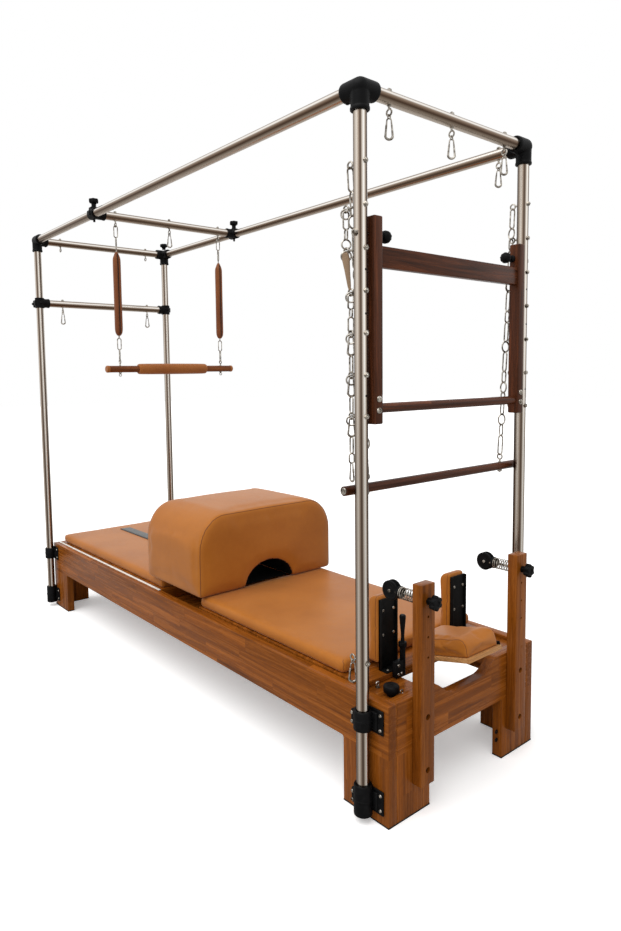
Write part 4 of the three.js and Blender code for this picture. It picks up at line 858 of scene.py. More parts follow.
class Hardware:
    """Patterns of the small parts, each modelled once at the origin and copied."""

    def __init__(self) -> None:
        """Models the patterns."""
        self.carabiner = self.make_carabiner()
        self.link = ring("long_link_pattern", 8.5, 2.5, 34)
        self.short_link = ring("short_link_pattern", 7.5, 2.4, 14)
        self.ring = ring("ring_pattern", 13.5, 2.5)
        self.small_ring = ring("small_ring_pattern", 5.6, 1.9, steps=20)
        self.screw = self.make_screw()
        self.dome = turned("dome_pattern", [
            (9.5, 0), (9.5, 1), (8.6, 3), (6.4, 4.8), (4.6, 5.4), (3.6, 5.4), (3.4, 3.2)], 28)
        self.star_knob = self.make_star_knob()
        self.ball_knob = self.make_ball_knob()
        self.eyebolts = {
            "tube": self.make_eyebolt(19.0), "long": self.make_eyebolt(19.0, 36.0),
            "trapeze": self.make_eyebolt(16.0), "roll": self.make_eyebolt(14.0)}
        self.plug = turned("plug_pattern", [(3.2, -1), (3.2, 0.2), (2.6, 0.5)], 16)

    def make_carabiner(self) -> Piece:
        """A pear-shaped snap hook, with its gate's sleeve on one side."""
        body = ring("carabiner_body", 6.2, 2.1, 40, 1.72)
        sleeve = round_bar("sleeve", Vector((7.4, 0, -19)) * MM, Vector((8.7, 0, -31)) * MM, 2.9, 16)
        pin = round_bar("pin", Vector((10.4, 2.9, -44)) * MM, Vector((10.4, -2.9, -44)) * MM, 1.5, 10, 0.3)
        return joined("carabiner_pattern", body, sleeve, pin)

    def make_screw(self) -> Piece:
        """A socket screw's head."""
        return turned("screw_pattern", [
            (5.0, 0), (5.0, 1.8), (4.4, 2.6), (2.6, 2.6), (2.4, 1.2)], 24)

    def make_star_knob(self) -> Piece:
        """A hand knob with six lobes on a neck."""
        core = turned("knob_core", [
            (10.2, 0), (10.8, 0.6), (10.8, 9), (13.2, 12), (17.4, 15), (17.8, 17), (17.8, 30), (15.6, 33.4),
            (8.0, 34), (7.0, 31.6)], 36)
        lobes = []
        for i in range(6):
            lobe = turned("lobe", [(4.8, 15), (6.4, 17), (7.0, 20), (7.0, 29), (6.0, 32), (4.0, 33.2)], 20)
            way = Vector((math.cos(i * math.pi / 3), math.sin(i * math.pi / 3), 0))
            lobe.data.transform(Matrix.Translation(way * 15.6 * MM))
            lobes.append(lobe)
        return joined("star_knob_pattern", core, *lobes)

    def make_ball_knob(self) -> Piece:
        """A ball knob with raised ribs, whose middle is at the origin."""
        arc = [math.radians(a) for a in (-68, -54, -40, -26, -12, 0, 12, 26, 40, 54, 68)]
        ball = turned("ball_knob_pattern", [(17.4 * math.cos(a), 17.4 * math.sin(a)) for a in arc], 36)

        def ribbed(place: Vector) -> bool:
            """Two facets in every four, away from the poles."""
            facet = int((math.atan2(place.y, place.x) / math.tau % 1.0) * 36 + 0.01)
            return facet % 4 < 2 and abs(place.z) < 13 * MM and place.xy.length > 5 * MM

        with editing(ball):
            pick(ball, Pick.FACES, ribbed)
            bpy.ops.mesh.inset(thickness=0.25 * MM, depth=0.8 * MM)
        return smoothed(ball, 40)

    def make_eyebolt(self, bar: float, reach: float = 19.0) -> Piece:
        """An eyebolt through a bar: eye on +Z, washer, shank, and nut on the far side."""
        eye = ring("eye", 9.0, 2.6, place=Matrix.Translation(Vector((0, 0, bar + reach + 11.6)) * MM))
        neck = turned("neck", [(6.2, bar - 0.6), (6.2, bar + 1.2), (3.6, bar + 1.6), (3.4, bar + reach - 10),
                               (2.4, bar + reach - 8)], 20)
        nut = turned("nut", [(6.6, -bar - 5.2), (7.4, -bar - 4.6), (7.4, -bar - 0.8), (8.2, -bar - 0.7),
                             (8.2, -bar + 0.8)], 6)
        tip = turned("tip", [(2.8, -bar - 8), (3.4, -bar - 7.2), (3.4, -bar - 4)], 16)
        return joined("eyebolt_pattern", eye, neck, nut, tip)

    def bolts(self, kind: str, places: Sequence[Vector], way: Vector) -> list[Piece]:
        """Copies of an eyebolt at places along a bar."""
        return [copied(self.eyebolts[kind], "eyebolt", aimed(place, way, NORTH)) for place in places]

    def heads(self, places: Sequence[Vector], way: Vector, facing: Vector = UP, size: float = 1.0) -> list[Piece]:
        """Copies of the screw's head at places on a face."""
        return [copied(self.screw, "head", aimed(place, way, facing) @ Matrix.Scale(size, 4)) for place in places]

    def hook(self, eye: Vector, facing: Vector = ASKEW) -> Piece:
        """A carabiner that hangs from a small ring in an eye."""
        small = copied(self.small_ring, "small_ring", aimed(eye + DOWN * 3.6 * MM, UP, EAST))
        hook = copied(self.carabiner, "hook", aimed(eye + DOWN * 13.4 * MM, UP, facing))
        return joined("hook", hook, small)

    def chain(self, name: str, top: Vector, foot: Vector, kinds: str) -> Piece:
        """A taut chain of links, rings and carabiners between two points.

        Args:
            name: The chain's name.
            top: Where the first link hangs.
            foot: Where the last link ends.
            kinds: The links from the top, by name, with spaces between.

        Returns:
            The chain as one piece.
        """
        patterns = {"link": (self.link, 56.0), "short": (self.short_link, 33.8), "ring": (self.ring, 32.0),
                    "hook": (self.carabiner, 62.6)}
        wire = 4.9
        run = foot - top
        natural = sum(patterns[kind][1] - wire for kind in kinds.split()) + wire
        scale = run.length / MM / natural
        place = top.copy()
        links = []
        for i, kind in enumerate(kinds.split()):
            pattern, length = patterns[kind]
            facing = Vector((0.94, -0.34, 0)) if i % 2 == 0 else Vector((0.26, 0.97, 0))
            size = Matrix.Diagonal((1, 1, scale, 1))
            links.append(copied(pattern, "chain_link", aimed(place, -run, facing) @ size))
            place += run.normalized() * (length - wire) * scale * MM
        return joined(name, *links)

    def clean_up(self) -> None:
        """Removes the patterns."""
        scrap(self.carabiner, self.link, self.short_link, self.ring, self.small_ring, self.screw, self.dome,
              self.star_knob, self.ball_knob, *self.eyebolts.values(), self.plug)


# Sub-assemblies


@dataclass
class BedFrame:
    """The wooden bed: side and end panels, head deck and rubber feet."""

    hardware: Hardware
    rounding: float = 2.4
    deck_top: float = 345.0
    deck_eyes: Sequence[Pair] = ((1142, -276), (1224, -262))
    knob: Pair = (1204, -284)
    leg_x: Sequence[float] = (1088.0, 1234.0, 1270.4)
    leg_y: Sequence[float] = (187.6, 334.0, 370.4)
    foot_height: float = 5.0

    def build(self) -> None:
        """Builds the bed."""
        for side in SIDES:
            panel = from_drawing(f"side_panel_{side}", f"bed_side_{side}", self.rounding)
            fitted(panel, OAK_RAIL, Body.FRAME, f"side_panel_{side}")
        for end in ("head", "foot"):
            panel = from_drawing(f"{end}_panel", f"bed_end_{end}", self.rounding)
            fitted(panel, OAK_END, Body.FRAME, f"{end}_panel")
        self.build_deck()
        self.build_feet()

    def build_deck(self) -> None:
        """The head deck, with its knob and two small eyes."""
        deck = from_drawing("head_deck", "deck_board")
        top = self.deck_top * MM
        with editing(deck):
            pick(deck, Pick.FACES, lambda place: place.z > top + 0.4 * MM)
            bpy.ops.mesh.delete(type="FACE")
            bpy.ops.mesh.select_mode(type="EDGE")
            bpy.ops.mesh.select_non_manifold()
            bpy.ops.mesh.edge_face_add()
            bpy.ops.mesh.select_all(action="SELECT")
            bpy.ops.mesh.dissolve_limited(angle_limit=math.radians(1.0))
            bpy.ops.mesh.normals_make_consistent(inside=False)
        modified(deck, "BEVEL", width=1.6 * MM, segments=2, limit_method="ANGLE",
                 angle_limit=SHARP, use_clamp_overlap=False)
        fitted(smoothed(deck), OAK_DECK, Body.FRAME, "head_deck")
        outline = [(13, 0), (14, 1), (14, 7), (17, 9), (22.5, 11), (24, 13), (24, 28), (22, 31.4), (17, 33.4), (6, 34)]
        knob = turned("deck_knob", outline, 48, place=Matrix.Translation(spot(*self.knob, self.deck_top)))
        fitted(knob, BLACK, Body.FRAME)
        eyes = []
        for x, y in self.deck_eyes:
            eye = ring("deck_ring", 6.4, 2.0, steps=24, place=aimed(spot(x, y, self.deck_top + 19.5), UP, EAST))
            post = turned("deck_post", [(8, 0), (8, 1.4), (5, 1.8), (5, 4.6), (3.4, 5), (2.6, 6.6)], 24,
                          place=Matrix.Translation(spot(x, y, self.deck_top)))
            eyes += [eye, post]
        fitted(joined("deck_eyes", *eyes), BRIGHT, Body.FRAME)

    def build_feet(self) -> None:
        """Thin rubber strips under the eight leg portions, and two hooks inside the far head leg."""
        (inner, end_face, outer), (short, face, edge) = self.leg_x, self.leg_y
        strips = []
        for end in (-1, 1):
            for side in (-1, 1):
                for xs, ys in (((inner, outer), (face, edge)), ((end_face, outer), (short, face))):
                    strips.append(slab("strip", sorted(end * x for x in xs), sorted(side * y for y in ys),
                                       (0, self.foot_height), 0.6))
        fitted(joined("rubber_feet", *strips), RUBBER, Body.FRAME)
        hooks = [ring("leg_hook", 5.2, 2.2, steps=20, place=aimed(spot(1254, 182.6, z), UP, EAST)) for z in (96, 68)]
        fitted(joined("leg_hooks", *hooks), BLACK_METAL, Body.FRAME)


@dataclass
class Risers:
    """The two pulley risers, with their pulleys, springs and knobs."""

    hardware: Hardware
    y: float = 240.0
    width: float = 60.0
    back: float = 1270.3
    front: float = 1304.3
    bottom: float = 98.0
    top: float = 695.0
    shank_z: float = 646.0
    holes: Sequence[float] = (600, 540, 480)
    bolts: Sequence[float] = (143, 303)
    axle_x: float = 1168.0
    coil_radius: float = 17.0
    coil_wire: float = 1.5
    coils: int = 7

    def build(self) -> None:
        """Builds both risers and copies the pulley to each."""
        fittings = (
            ("body", self.make_body(), BLACK, "pulley"), ("axle", self.make_axle(), BRIGHT, ""),
            ("shank", self.make_shank(), BRIGHT, ""), ("spring", self.make_spring(), BRIGHT, "pulley_spring"))
        for side, sign in SIDES.items():
            self.build_riser(side, sign * self.y)
            body = Body[f"PULLEY_{side.upper()}"]
            place = Matrix.Translation(spot(self.axle_x, sign * self.y, self.shank_z))
            for name, pattern, finish, node in fittings:
                nodes = [f"{node}_{side}"] if node else []
                fitted(copied(pattern, f"pulley_{name}_{side}", place), finish, body, *nodes)
        scrap(*(pattern for _, pattern, _, _ in fittings))

    def build_riser(self, side: str, y: float) -> None:
        """One riser with its bores, and the bolts in its two counterbores."""
        half = self.width / 2
        post = slab(f"riser_post_{side}", (self.back, self.front), (y - half, y + half),
                    (self.bottom, self.top), 2.4, 3)

        def bore(z: float, back: float, radius: float, sides: int) -> Piece:
            """A cutter that comes out through the riser's face."""
            return round_bar("bore", spot(back, y, z), spot(self.front + 5, y, z), radius, sides, 0.1)

        bores = [bore(z, self.back - 5, 4.0, 28) for z in self.holes]
        bores.append(bore(self.shank_z, self.back - 5, 5.3, 28))
        bores += [bore(z, self.front - 12, 9.0, 36) for z in self.bolts]
        fitted(carved(post, *bores), OAK_POST, Body.FRAME, f"riser_{side}")
        heads = self.hardware.heads([spot(self.front - 12, y, z) for z in self.bolts], EAST, NORTH, 1.5)
        fitted(joined(f"riser_bolts_{side}", *heads), BLACK_METAL, Body.FRAME)

    def make_body(self) -> Piece:
        """Two cheeks, the sheave between them, the yoke, the collar and the hand knob."""
        rim = [(28.4, 0), (30, 1), (30, 4.2), (28.2, 5.4), (23, 5.4), (22, 4.4), (11, 4.4), (10, 5.6), (8.6, 5.6)]
        groove = [(24.6, -5.2), (25, -4.4), (19.4, -1.2), (19.4, 1.2), (25, 4.4), (24.6, 5.2)]
        neck = [(13, 28), (18.6, 29), (19.4, 30), (19.4, 34), (18.6, 35), (12, 35.6)]
        parts = [turned("cheek", rim, 48, aimed(Vector((0, sign * 6 * MM, 0)), NORTH * sign, UP)) for sign in (-1, 1)]
        parts += [
            turned("sheave", groove, 48, aimed(Vector(), NORTH, UP)),
            slab("yoke", (17, 33), (-11, 11), (-11, 11), 3.0, 3, True),
            turned("collar", neck, 40, aimed(Vector(), EAST, NORTH)),
            copied(self.hardware.star_knob, "knob", aimed(Vector((136.6 * MM, 0, 0)), EAST, NORTH)),
        ]
        return joined("pulley_body_pattern", *parts)

    def make_axle(self) -> Piece:
        """The axle's screw on each cheek."""
        heads = []
        for x, y, size in ((0, 11.4, 1.0), (24, 10.9, 0.6)):
            for sign in (-1, 1):
                heads += self.hardware.heads([Vector((x, sign * y, 0)) * MM], NORTH * sign, UP, size)
        return joined("pulley_axle_pattern", *heads)

    def make_shank(self) -> Piece:
        """The rod that the spring sits on, from the yoke to the knob."""
        return round_bar("pulley_shank_pattern", Vector((30, 0, 0)) * MM, Vector((138, 0, 0)) * MM, 4.0, 28, 0.5)

    def make_spring(self) -> Piece:
        """The coil spring, wound by a screw modifier with a flat turn at each end."""
        clear_selection()
        bpy.ops.mesh.primitive_circle_add(vertices=12, radius=self.coil_wire * MM, fill_type="NOTHING")
        spring = bpy.context.object
        spring.name = "pulley_spring_pattern"
        with editing(spring):
            bpy.ops.transform.rotate(value=math.pi / 2, orient_axis="X", center_override=(0, 0, 0))
            bpy.ops.transform.translate(value=(self.coil_radius * MM, 0, 0))
        length = self.back - self.axle_x - 36.5 - 2 * self.coil_wire
        modified(spring, "SCREW", screw_offset=length / self.coils * MM, iterations=self.coils, steps=28,
                 render_steps=28, use_smooth_shade=True, use_merge_vertices=True)
        with editing(spring):
            bpy.ops.mesh.fill_holes(sides=12)
        upright = Matrix.Rotation(math.pi / 2, 4, "X") @ Matrix.Translation(
            Vector((0, 0, (self.coil_radius + self.coil_wire) * MM)))
        loops = [ring("loop", self.coil_radius, self.coil_wire, steps=36,
                      place=Matrix.Translation(Vector((0, 0, height * MM))) @ upright) for height in (0.0, length)]
        spring = joined("pulley_spring_pattern", spring, *loops)
        outward(spring)
        spring.data.transform(aimed(Vector(((36 + self.coil_wire) * MM, 0, 0)), EAST, NORTH))
        return smoothed(spring, 60)


@dataclass
class Tower:
    """The steel tube tower with its elbows, clamps, sockets, eyebolts and snap hooks."""

    hardware: Hardware
    y: float = 395.0
    head_x: float = 1194.0
    foot_x: float = -1262.0
    height: float = 2050.0
    radius: float = 19.0
    stop: float = 21.3
    bottom: float = 28.3
    eyes: Sequence[float] = (1859, 1745, 1631, 1517, 1403, 1289, 1175)
    eye_reach: float = 38.0
    low_eye: float = 476.0
    spare_holes: Sequence[float] = (1573, 1455, 1232)
    clamp_z: float = 306.0
    socket: Pair = (22.0, 114.0)

    @property
    def ends(self) -> dict[str, float]:
        """The tower's two ends and where their tubes stand."""
        return {"head": self.head_x, "foot": self.foot_x}

    def build(self) -> None:
        """Builds the tower."""
        self.build_tubes()
        self.build_eyes()
        self.build_elbows()
        self.build_clamps()

    def build_tubes(self) -> None:
        """Uprights, top tubes and the two fixed cross tubes."""
        for side, sign in SIDES.items():
            y = sign * self.y
            for end, x in self.ends.items():
                post = round_bar(f"post_{end}_{side}", spot(x, y, self.bottom),
                                 spot(x, y, self.height - self.stop), self.radius, 48)
                fitted(post, STEEL_Z, Body.FRAME, f"upright_{end}_{side}")
            rail = round_bar(f"top_rail_{side}", spot(self.foot_x + self.stop, y, self.height),
                             spot(self.head_x - self.stop, y, self.height), self.radius, 48)
            fitted(rail, STEEL_X, Body.FRAME, f"top_tube_{side}")
        reach = self.y - self.stop
        for end, x in self.ends.items():
            cross = round_bar(f"cross_tube_{end}", spot(x, -reach, self.height), spot(x, reach, self.height),
                              self.radius, 48)
            fitted(cross, STEEL_Y, Body.FRAME, f"{end}_cross_tube")

    def build_eyes(self) -> None:
        """Eyebolts with what hangs from them, and plugs in the spare holes."""
        kit = self.hardware
        for side, sign in SIDES.items():
            y = sign * self.y
            places = [spot(self.head_x, y, z) for z in self.eyes]
            bolts = []
            for i, place in enumerate(places):
                bolts += kit.bolts("long" if sign < 0 and i in (1, 2) else "tube", [place], WEST)
            fitted(joined(f"eye_row_{side}", *bolts), BRIGHT, Body.FRAME)
            plugs = [copied(kit.plug, "plug", aimed(spot(self.head_x + way.x * self.radius, y, z), way))
                     for z in self.spare_holes for way in (EAST, WEST)]
            fitted(joined(f"hole_plugs_{side}", *plugs), RUBBER, Body.FRAME)
        self.build_spare_chain()
        drop = self.height - self.eye_reach
        under = {
            "head_cross": [(self.head_x, y, True) for y in (-280, 0, 280)],
            "foot_cross": [(self.foot_x, y, False) for y in (-265, 265)],
            "far_rail": [(self.head_x - 96, self.y, True)],
        }
        for name, places in under.items():
            parts = kit.bolts("tube", [spot(x, y, self.height) for x, y, _ in places], DOWN)
            parts += [kit.hook(spot(x, y, drop)) for x, y, hooked in places if hooked]
            fitted(joined(f"eyes_{name}", *parts), BRIGHT, Body.FRAME)

    def build_spare_chain(self) -> None:
        """What hangs from eye to eye down the near head upright, and the low eye with its snap hook."""
        kit, y = self.hardware, -self.y
        kinds = ("link short ring", "", "link short link", "hook link", "hook link", "hook link short hook")
        outer, inner = self.head_x - 55, self.head_x - self.eye_reach
        stops = [(outer if i < 2 else inner, z) for i, z in enumerate(self.eyes[1:])]
        runs = []
        for (x0, upper), (x1, lower), links in zip(stops, [*stops[1:], (inner, self.eyes[-1] - 192)], kinds):
            if links:
                runs.append(kit.chain("run", spot(x0, y, upper - 3.4), spot(x1, y, lower + 3.4), links))
        for x, eye in stops:
            runs.append(copied(kit.ring, "ring", aimed(spot(x, y, eye + 2.6), UP, Vector((0.7, -0.7, 0.25)))))
        runs += kit.bolts("tube", [spot(self.head_x, y, self.low_eye)], WEST)
        runs.append(kit.hook(spot(inner, y, self.low_eye)))
        fitted(joined("spare_carabiners", *runs), BRIGHT, Body.FRAME)
        upper, lower = spot(outer, y - 4, self.eyes[2] - 4), spot(inner, y - 4, self.eyes[3] + 6)
        loop = turned("spare_loop", [(3, 0), (5, 12), (8, 55), (11, 84), (9.6, 102), (4, 106)], 24)
        with editing(loop):
            bpy.ops.transform.resize(value=(1, 0.4, 1), center_override=(0, 0, 0))
        loop.data.transform(aimed(lower, upper - lower, Vector((-0.5, 0.8, 0))))
        fitted(loop, LOOP_LEATHER, Body.FRAME)

    def build_elbows(self) -> None:
        """The four corner elbows from one pattern, and the hand knob on the far foot one."""
        core = [self.make_arm(way) for way in (WEST, NORTH, DOWN)]
        clear_selection()
        bpy.ops.mesh.primitive_uv_sphere_add(segments=40, ring_count=24, radius=27.6 * MM)
        moulding = blended(joined("elbow_pattern", *core, bpy.context.object), 1.7, 5)
        for end, side, quarter in (("head", "near", 0), ("head", "far", 1), ("foot", "near", 3), ("foot", "far", 2)):
            x = self.ends[end]
            place = Matrix.Translation(spot(x, SIDES[side] * self.y, self.height))
            turn = Matrix.Rotation(quarter * math.pi / 2, 4, "Z")
            elbow = copied(moulding, f"elbow_{end}_{side}", place @ turn)
            fitted(smoothed(elbow, 50), BLACK, Body.FRAME, f"corner_elbow_{end}_{side}")
            inner = place @ turn @ aimed(WEST * 46 * MM + DOWN * 26.6 * MM, DOWN, NORTH)
            fitted(copied(self.hardware.screw, f"elbow_screw_{end}_{side}", inner), BLACK_METAL, Body.FRAME)
        scrap(moulding)
        knob = copied(self.hardware.star_knob, "elbow_knob", Matrix.Translation(
            spot(self.foot_x, self.y, self.height + 26) + UP * 8 * MM))
        fitted(knob, BLACK, Body.FRAME)

    def make_arm(self, way: Vector) -> Piece:
        """One elbow arm: the level ones are fat and short, and the upright one has a lip at its mouth."""
        level = [(27.6, 0), (27.6, 50), (26.9, 53.6), (25, 56), (20.4, 56), (19.8, 53)]
        down = [(25.6, 0), (25.4, 48), (25.4, 50), (27, 51.6), (27, 58), (25.8, 60), (20.4, 60), (19.8, 57)]
        return turned("arm", down if way is DOWN else level, 40, aimed(Vector(), way, UP))

    def build_clamps(self) -> None:
        """Rail clamps and foot sockets, modelled once for the near side and mirrored for the far one."""
        tall = self.make_flange_clamp(29.0, closed=False)
        socket = self.make_flange_clamp((self.socket[1] - self.socket[0]) / 2, closed=True)
        screws = self.make_clamp_screws()
        for side, sign in SIDES.items():
            mirror = Matrix.Diagonal((1, -sign, 1, 1))
            for end, x in self.ends.items():
                for name, node, pattern, z in (
                        ("clamp", "rail_clamp", tall, self.clamp_z),
                        ("socket", "foot_socket", socket, sum(self.socket) / 2)):
                    place = Matrix.Translation(spot(x, sign * self.y, z)) @ mirror
                    fitted(smoothed(copied(pattern, f"{name}_{end}_{side}", place)), BLACK, Body.FRAME,
                           f"{node}_{end}_{side}")
                    fitted(copied(screws, f"{name}_screws_{end}_{side}", place), BRIGHT, Body.FRAME)
        scrap(tall, socket, screws)

    def make_flange_clamp(self, half: float, closed: bool) -> Piece:
        """A collar, two bolted ears towards -X and a flange against the near side panel."""
        lead = 2.0 if closed else 5.0
        collar = turned("collar", [
            (20.6 if not closed else 24, -half), (25.4, -half), (27, -half + 1.6), (27, -half + lead),
            (27, half - 4), (25.6, half - 1), (24.6, half), (20.6, half), (20, half - 3)], 48)
        bead = turned("bead", [(26, -4), (28.2, -2.6), (28.2, 2.6), (26, 4)], 48)
        ears = [slab("ear", (-37, -18), (y0, y1), (-23, 23), 4.0, 3, True) for y0, y1 in ((-12, -1.2), (1.2, 12))]
        web = slab("web", (8, 40), (14, 24.6), (-27, 27), 4.0, 3, True)
        flange = slab("flange", (0, 60), (19.2, 24.7), (-36, 36), 2.4, 3, True)
        return joined("clamp_pattern", collar, bead, *ears, web, flange)

    def make_clamp_screws(self) -> Piece:
        """Two flange screws and two ear bolts."""
        heads = self.hardware.heads([Vector((50, 19.2, z)) * MM for z in (-22, 22)], SOUTH)
        for z in (-13, 13):
            for sign, way in ((-1, SOUTH), (1, NORTH)):
                heads += self.hardware.heads([Vector((-31, sign * 12, z)) * MM], way)
        return joined("clamp_screws_pattern", *heads)


@dataclass
class SlidingBars:
    """The top crossbar that slides along the tower, and the lower crossbar at the foot end."""

    hardware: Hardware
    y: float = 395.0
    top_x: float = -507.0
    top_z: float = 2050.0
    foot_x: float = -1262.0
    low_z: float = 1712.0
    stop: float = 25.3
    radius: float = 19.0

    def build(self) -> None:
        """Builds both bars with their clamps from one pattern."""
        clamp = self.make_clamp()
        knob = self.hardware.star_knob
        bars = (
            ("crossbar", Body.CROSSBAR, self.top_x, self.top_z, (-290, 0, 290), (0,), EAST, UP, "slide_crossbar"),
            ("lower_bar", Body.LOWER_BAR, self.foot_x, self.low_z, (-265, 265), (-265, 265), UP, WEST,
             "lower_crossbar"),
        )
        for name, body, x, z, eyes, hooks, run, knob_way, node in bars:
            reach = self.y - self.stop
            tube = round_bar(f"{name}_tube", spot(x, -reach, z), spot(x, reach, z), self.radius, 48)
            fitted(tube, STEEL_Y, body, node)
            parts = self.hardware.bolts("tube", [spot(x, y, z) for y in eyes], DOWN)
            parts += [self.hardware.hook(spot(x, y, z - 38)) for y in hooks]
            fitted(joined(f"{name}_eyes", *parts), BRIGHT, body)
            for side, sign in SIDES.items():
                centre = spot(x, sign * self.y, z)
                place = aimed(centre, knob_way, SOUTH * sign)
                prefix = "crossbar_clamp" if node == "slide_crossbar" else "lower_clamp"
                fitted(smoothed(copied(clamp, f"{name}_clamp_{side}", place), 50), BLACK, body, f"{prefix}_{side}")
                on = aimed(centre + knob_way * 34 * MM, knob_way, run)
                fitted(copied(knob, f"{name}_knob_{side}", on), BLACK, body)
        scrap(clamp)

    def make_clamp(self) -> Piece:
        """A tee clamp: collar along local X, socket along +Y, and a boss for the knob on +Z."""
        collar = turned("collar", [(20.4, -28), (23.6, -28), (25, -26.6), (25, 26.6), (23.6, 28), (20.4, 28)], 44,
                        aimed(Vector(), EAST, UP))
        arm = turned("arm", [(24, 0), (24, 43), (25.4, 45), (25.4, 50), (24, 52), (20.2, 52)], 44,
                     aimed(Vector(), NORTH, UP))
        boss = turned("boss", [(11, 10), (11, 34), (10, 35.6)], 32)
        block = slab("block", (-16, 16), (-20, 16), (8, 29), 3.0, 2, True)
        ears = slab("ears", (-14, 14), (-30, -12), (-12, 12), 3.0, 2, True)
        shaft = turned("shaft", [(4.6, -38), (5.4, -37), (5.4, -18)], 20)
        return blended(joined("tee_clamp_pattern", collar, arm, boss, block, ears, shaft), 1.7, 4)


@dataclass
class Trapeze:
    """The trapeze: two leather-wrapped hangers and a wooden bar with a leather grip."""

    hardware: Hardware
    x: float = -507.0
    top_z: float = 2012.0
    eye_y: float = 290.0
    strap_top: float = 1888.0
    strap_length: float = 395.0
    bar_half: float = 360.0
    bar_radius: float = 16.0
    grip_half: float = 195.0
    grip_radius: float = 26.0
    drawn_grip_radius: float = 27.0
    cap: float = 14.0
    bar_z: float = 0.0

    def build(self) -> None:
        """Builds the hangers and the bar."""
        self.bar_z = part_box("trapeze_bar")[0][2] / MM + self.drawn_grip_radius
        low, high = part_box("trapeze_hanger_near")
        swing = high[2] / MM
        foot = low[2] / MM
        kit = self.hardware
        for side, sign in SIDES.items():
            y = sign * self.eye_y
            upper = kit.chain(f"hanger_links_{side}", spot(self.x, y, swing), spot(self.x, y, self.strap_top + 9),
                              "link link")
            lower = kit.chain("lower", spot(self.x, y, self.strap_top - self.strap_length - 9),
                              spot(self.x, y, foot), "link link")
            fitted(joined(f"hanger_links_{side}", upper, lower), BRIGHT, Body.TRAPEZE)
            self.build_strap(side, y)
        self.build_bar()

    def build_strap(self, side: str, y: float) -> None:
        """A padded leather strap, gathered into a sewn groove on two sides, with a swivel at each end."""
        top, length = self.strap_top, self.strap_length
        middle = top - length / 2
        strap = turned(f"hanger_strap_{side}", [
            (6, 0), (9, 2), (14.5, 9), (18, 20), (19, 34), (19.0, 46), (18.4, length / 2),
            (19.0, length - 46), (18.4, length - 34), (15.8, length - 24), (10.5, length - 12),
            (6.5, length - 1.5), (4.5, length)], 28)
        with editing(strap):
            pick(strap, Pick.VERTICES, lambda place: abs(place.y) < 4.5 * MM and place.xy.length > 12 * MM)
            bpy.ops.transform.resize(value=(0.74, 1.0, 1), center_override=(0, 0, 0))
        strap.data.transform(Matrix.Translation(spot(self.x, y, top - length)))
        modified(strap, "SUBSURF", levels=1, render_levels=1)
        fitted(smoothed(strap, 60), STRAP_LEATHER, Body.TRAPEZE, f"trapeze_hanger_{side}")
        seams = []
        for way in (-1, 1):
            points = along(spot(self.x + way * 20, y, middle - length / 2 + 8),
                           spot(self.x + way * 20, y, middle + length / 2 - 8))
            seams.append(seam("strap_seam", strap, points, 2.6, sink=0.1))
        fitted(joined(f"strap_seams_{side}", *seams), STRAP_SEAM, Body.TRAPEZE)
        loops = []
        for z, turn in ((top + 6.5, UP), (top - length - 6.5, DOWN)):
            loops.append(round_bar("swivel", spot(self.x, y, z) - turn * 9 * MM, spot(self.x, y, z) + turn * 3 * MM,
                                   3.0, 16))
        fitted(joined(f"strap_swivels_{side}", *loops), BRIGHT, Body.TRAPEZE)

    def build_bar(self) -> None:
        """The wooden bar, its pale end caps, its leather grip and its two eyes."""
        x, z, half = self.x, self.bar_z, self.bar_half
        wood = round_bar("trapeze_wood", spot(x, -half, z), spot(x, half, z), self.bar_radius, 44, 2.5)
        fitted(wood, BAR_WOOD, Body.TRAPEZE, "trapeze_bar")
        bar, cap = self.bar_radius, self.cap
        outline = [(bar + 0.4, 0), (bar + 0.7, 0.6), (bar + 0.7, cap - 3), (bar - 1.6, cap), (6, cap + 0.2)]
        caps = [turned("cap", outline, 44, aimed(spot(x, sign * (half - cap + 1), z), NORTH * sign, UP))
                for sign in (-1, 1)]
        fitted(joined("trapeze_bar_caps", *caps), GRIP_LEATHER, Body.TRAPEZE)
        radius, reach = self.grip_radius, self.grip_half
        grip = turned("trapeze_grip", [
            (16.4, -reach), (21, -reach + 0.6), (24.4, -reach + 3), (radius, -reach + 9),
            (radius + 0.6, -reach / 2), (radius + 0.8, 0), (radius + 0.6, reach / 2),
            (radius, reach - 9), (24.4, reach - 3), (21, reach - 0.6), (16.4, reach)],
            48, aimed(spot(x, 0, z), NORTH, UP))
        modified(grip, "SUBSURF", levels=1, render_levels=1)
        fitted(smoothed(grip, 50), GRIP_LEATHER, Body.TRAPEZE)
        stitches = seam("grip_seam", grip, along(spot(x - 30, -reach + 4, z + 8), spot(x - 30, reach - 4, z + 8)), 0.9)
        fitted(stitches, SEAM, Body.TRAPEZE, slot=Slot.BROWN)
        bolts = self.hardware.bolts("trapeze", [spot(x, sign * self.eye_y, z) for sign in (-1, 1)], UP)
        for sign in (-1, 1):
            below = spot(x, sign * self.eye_y, z - self.bar_radius - 5)
            bolts.append(copied(self.hardware.small_ring, "low_ring", aimed(below, UP, ASKEW)))
        fitted(joined("trapeze_eyes", *bolts), BRIGHT, Body.TRAPEZE)


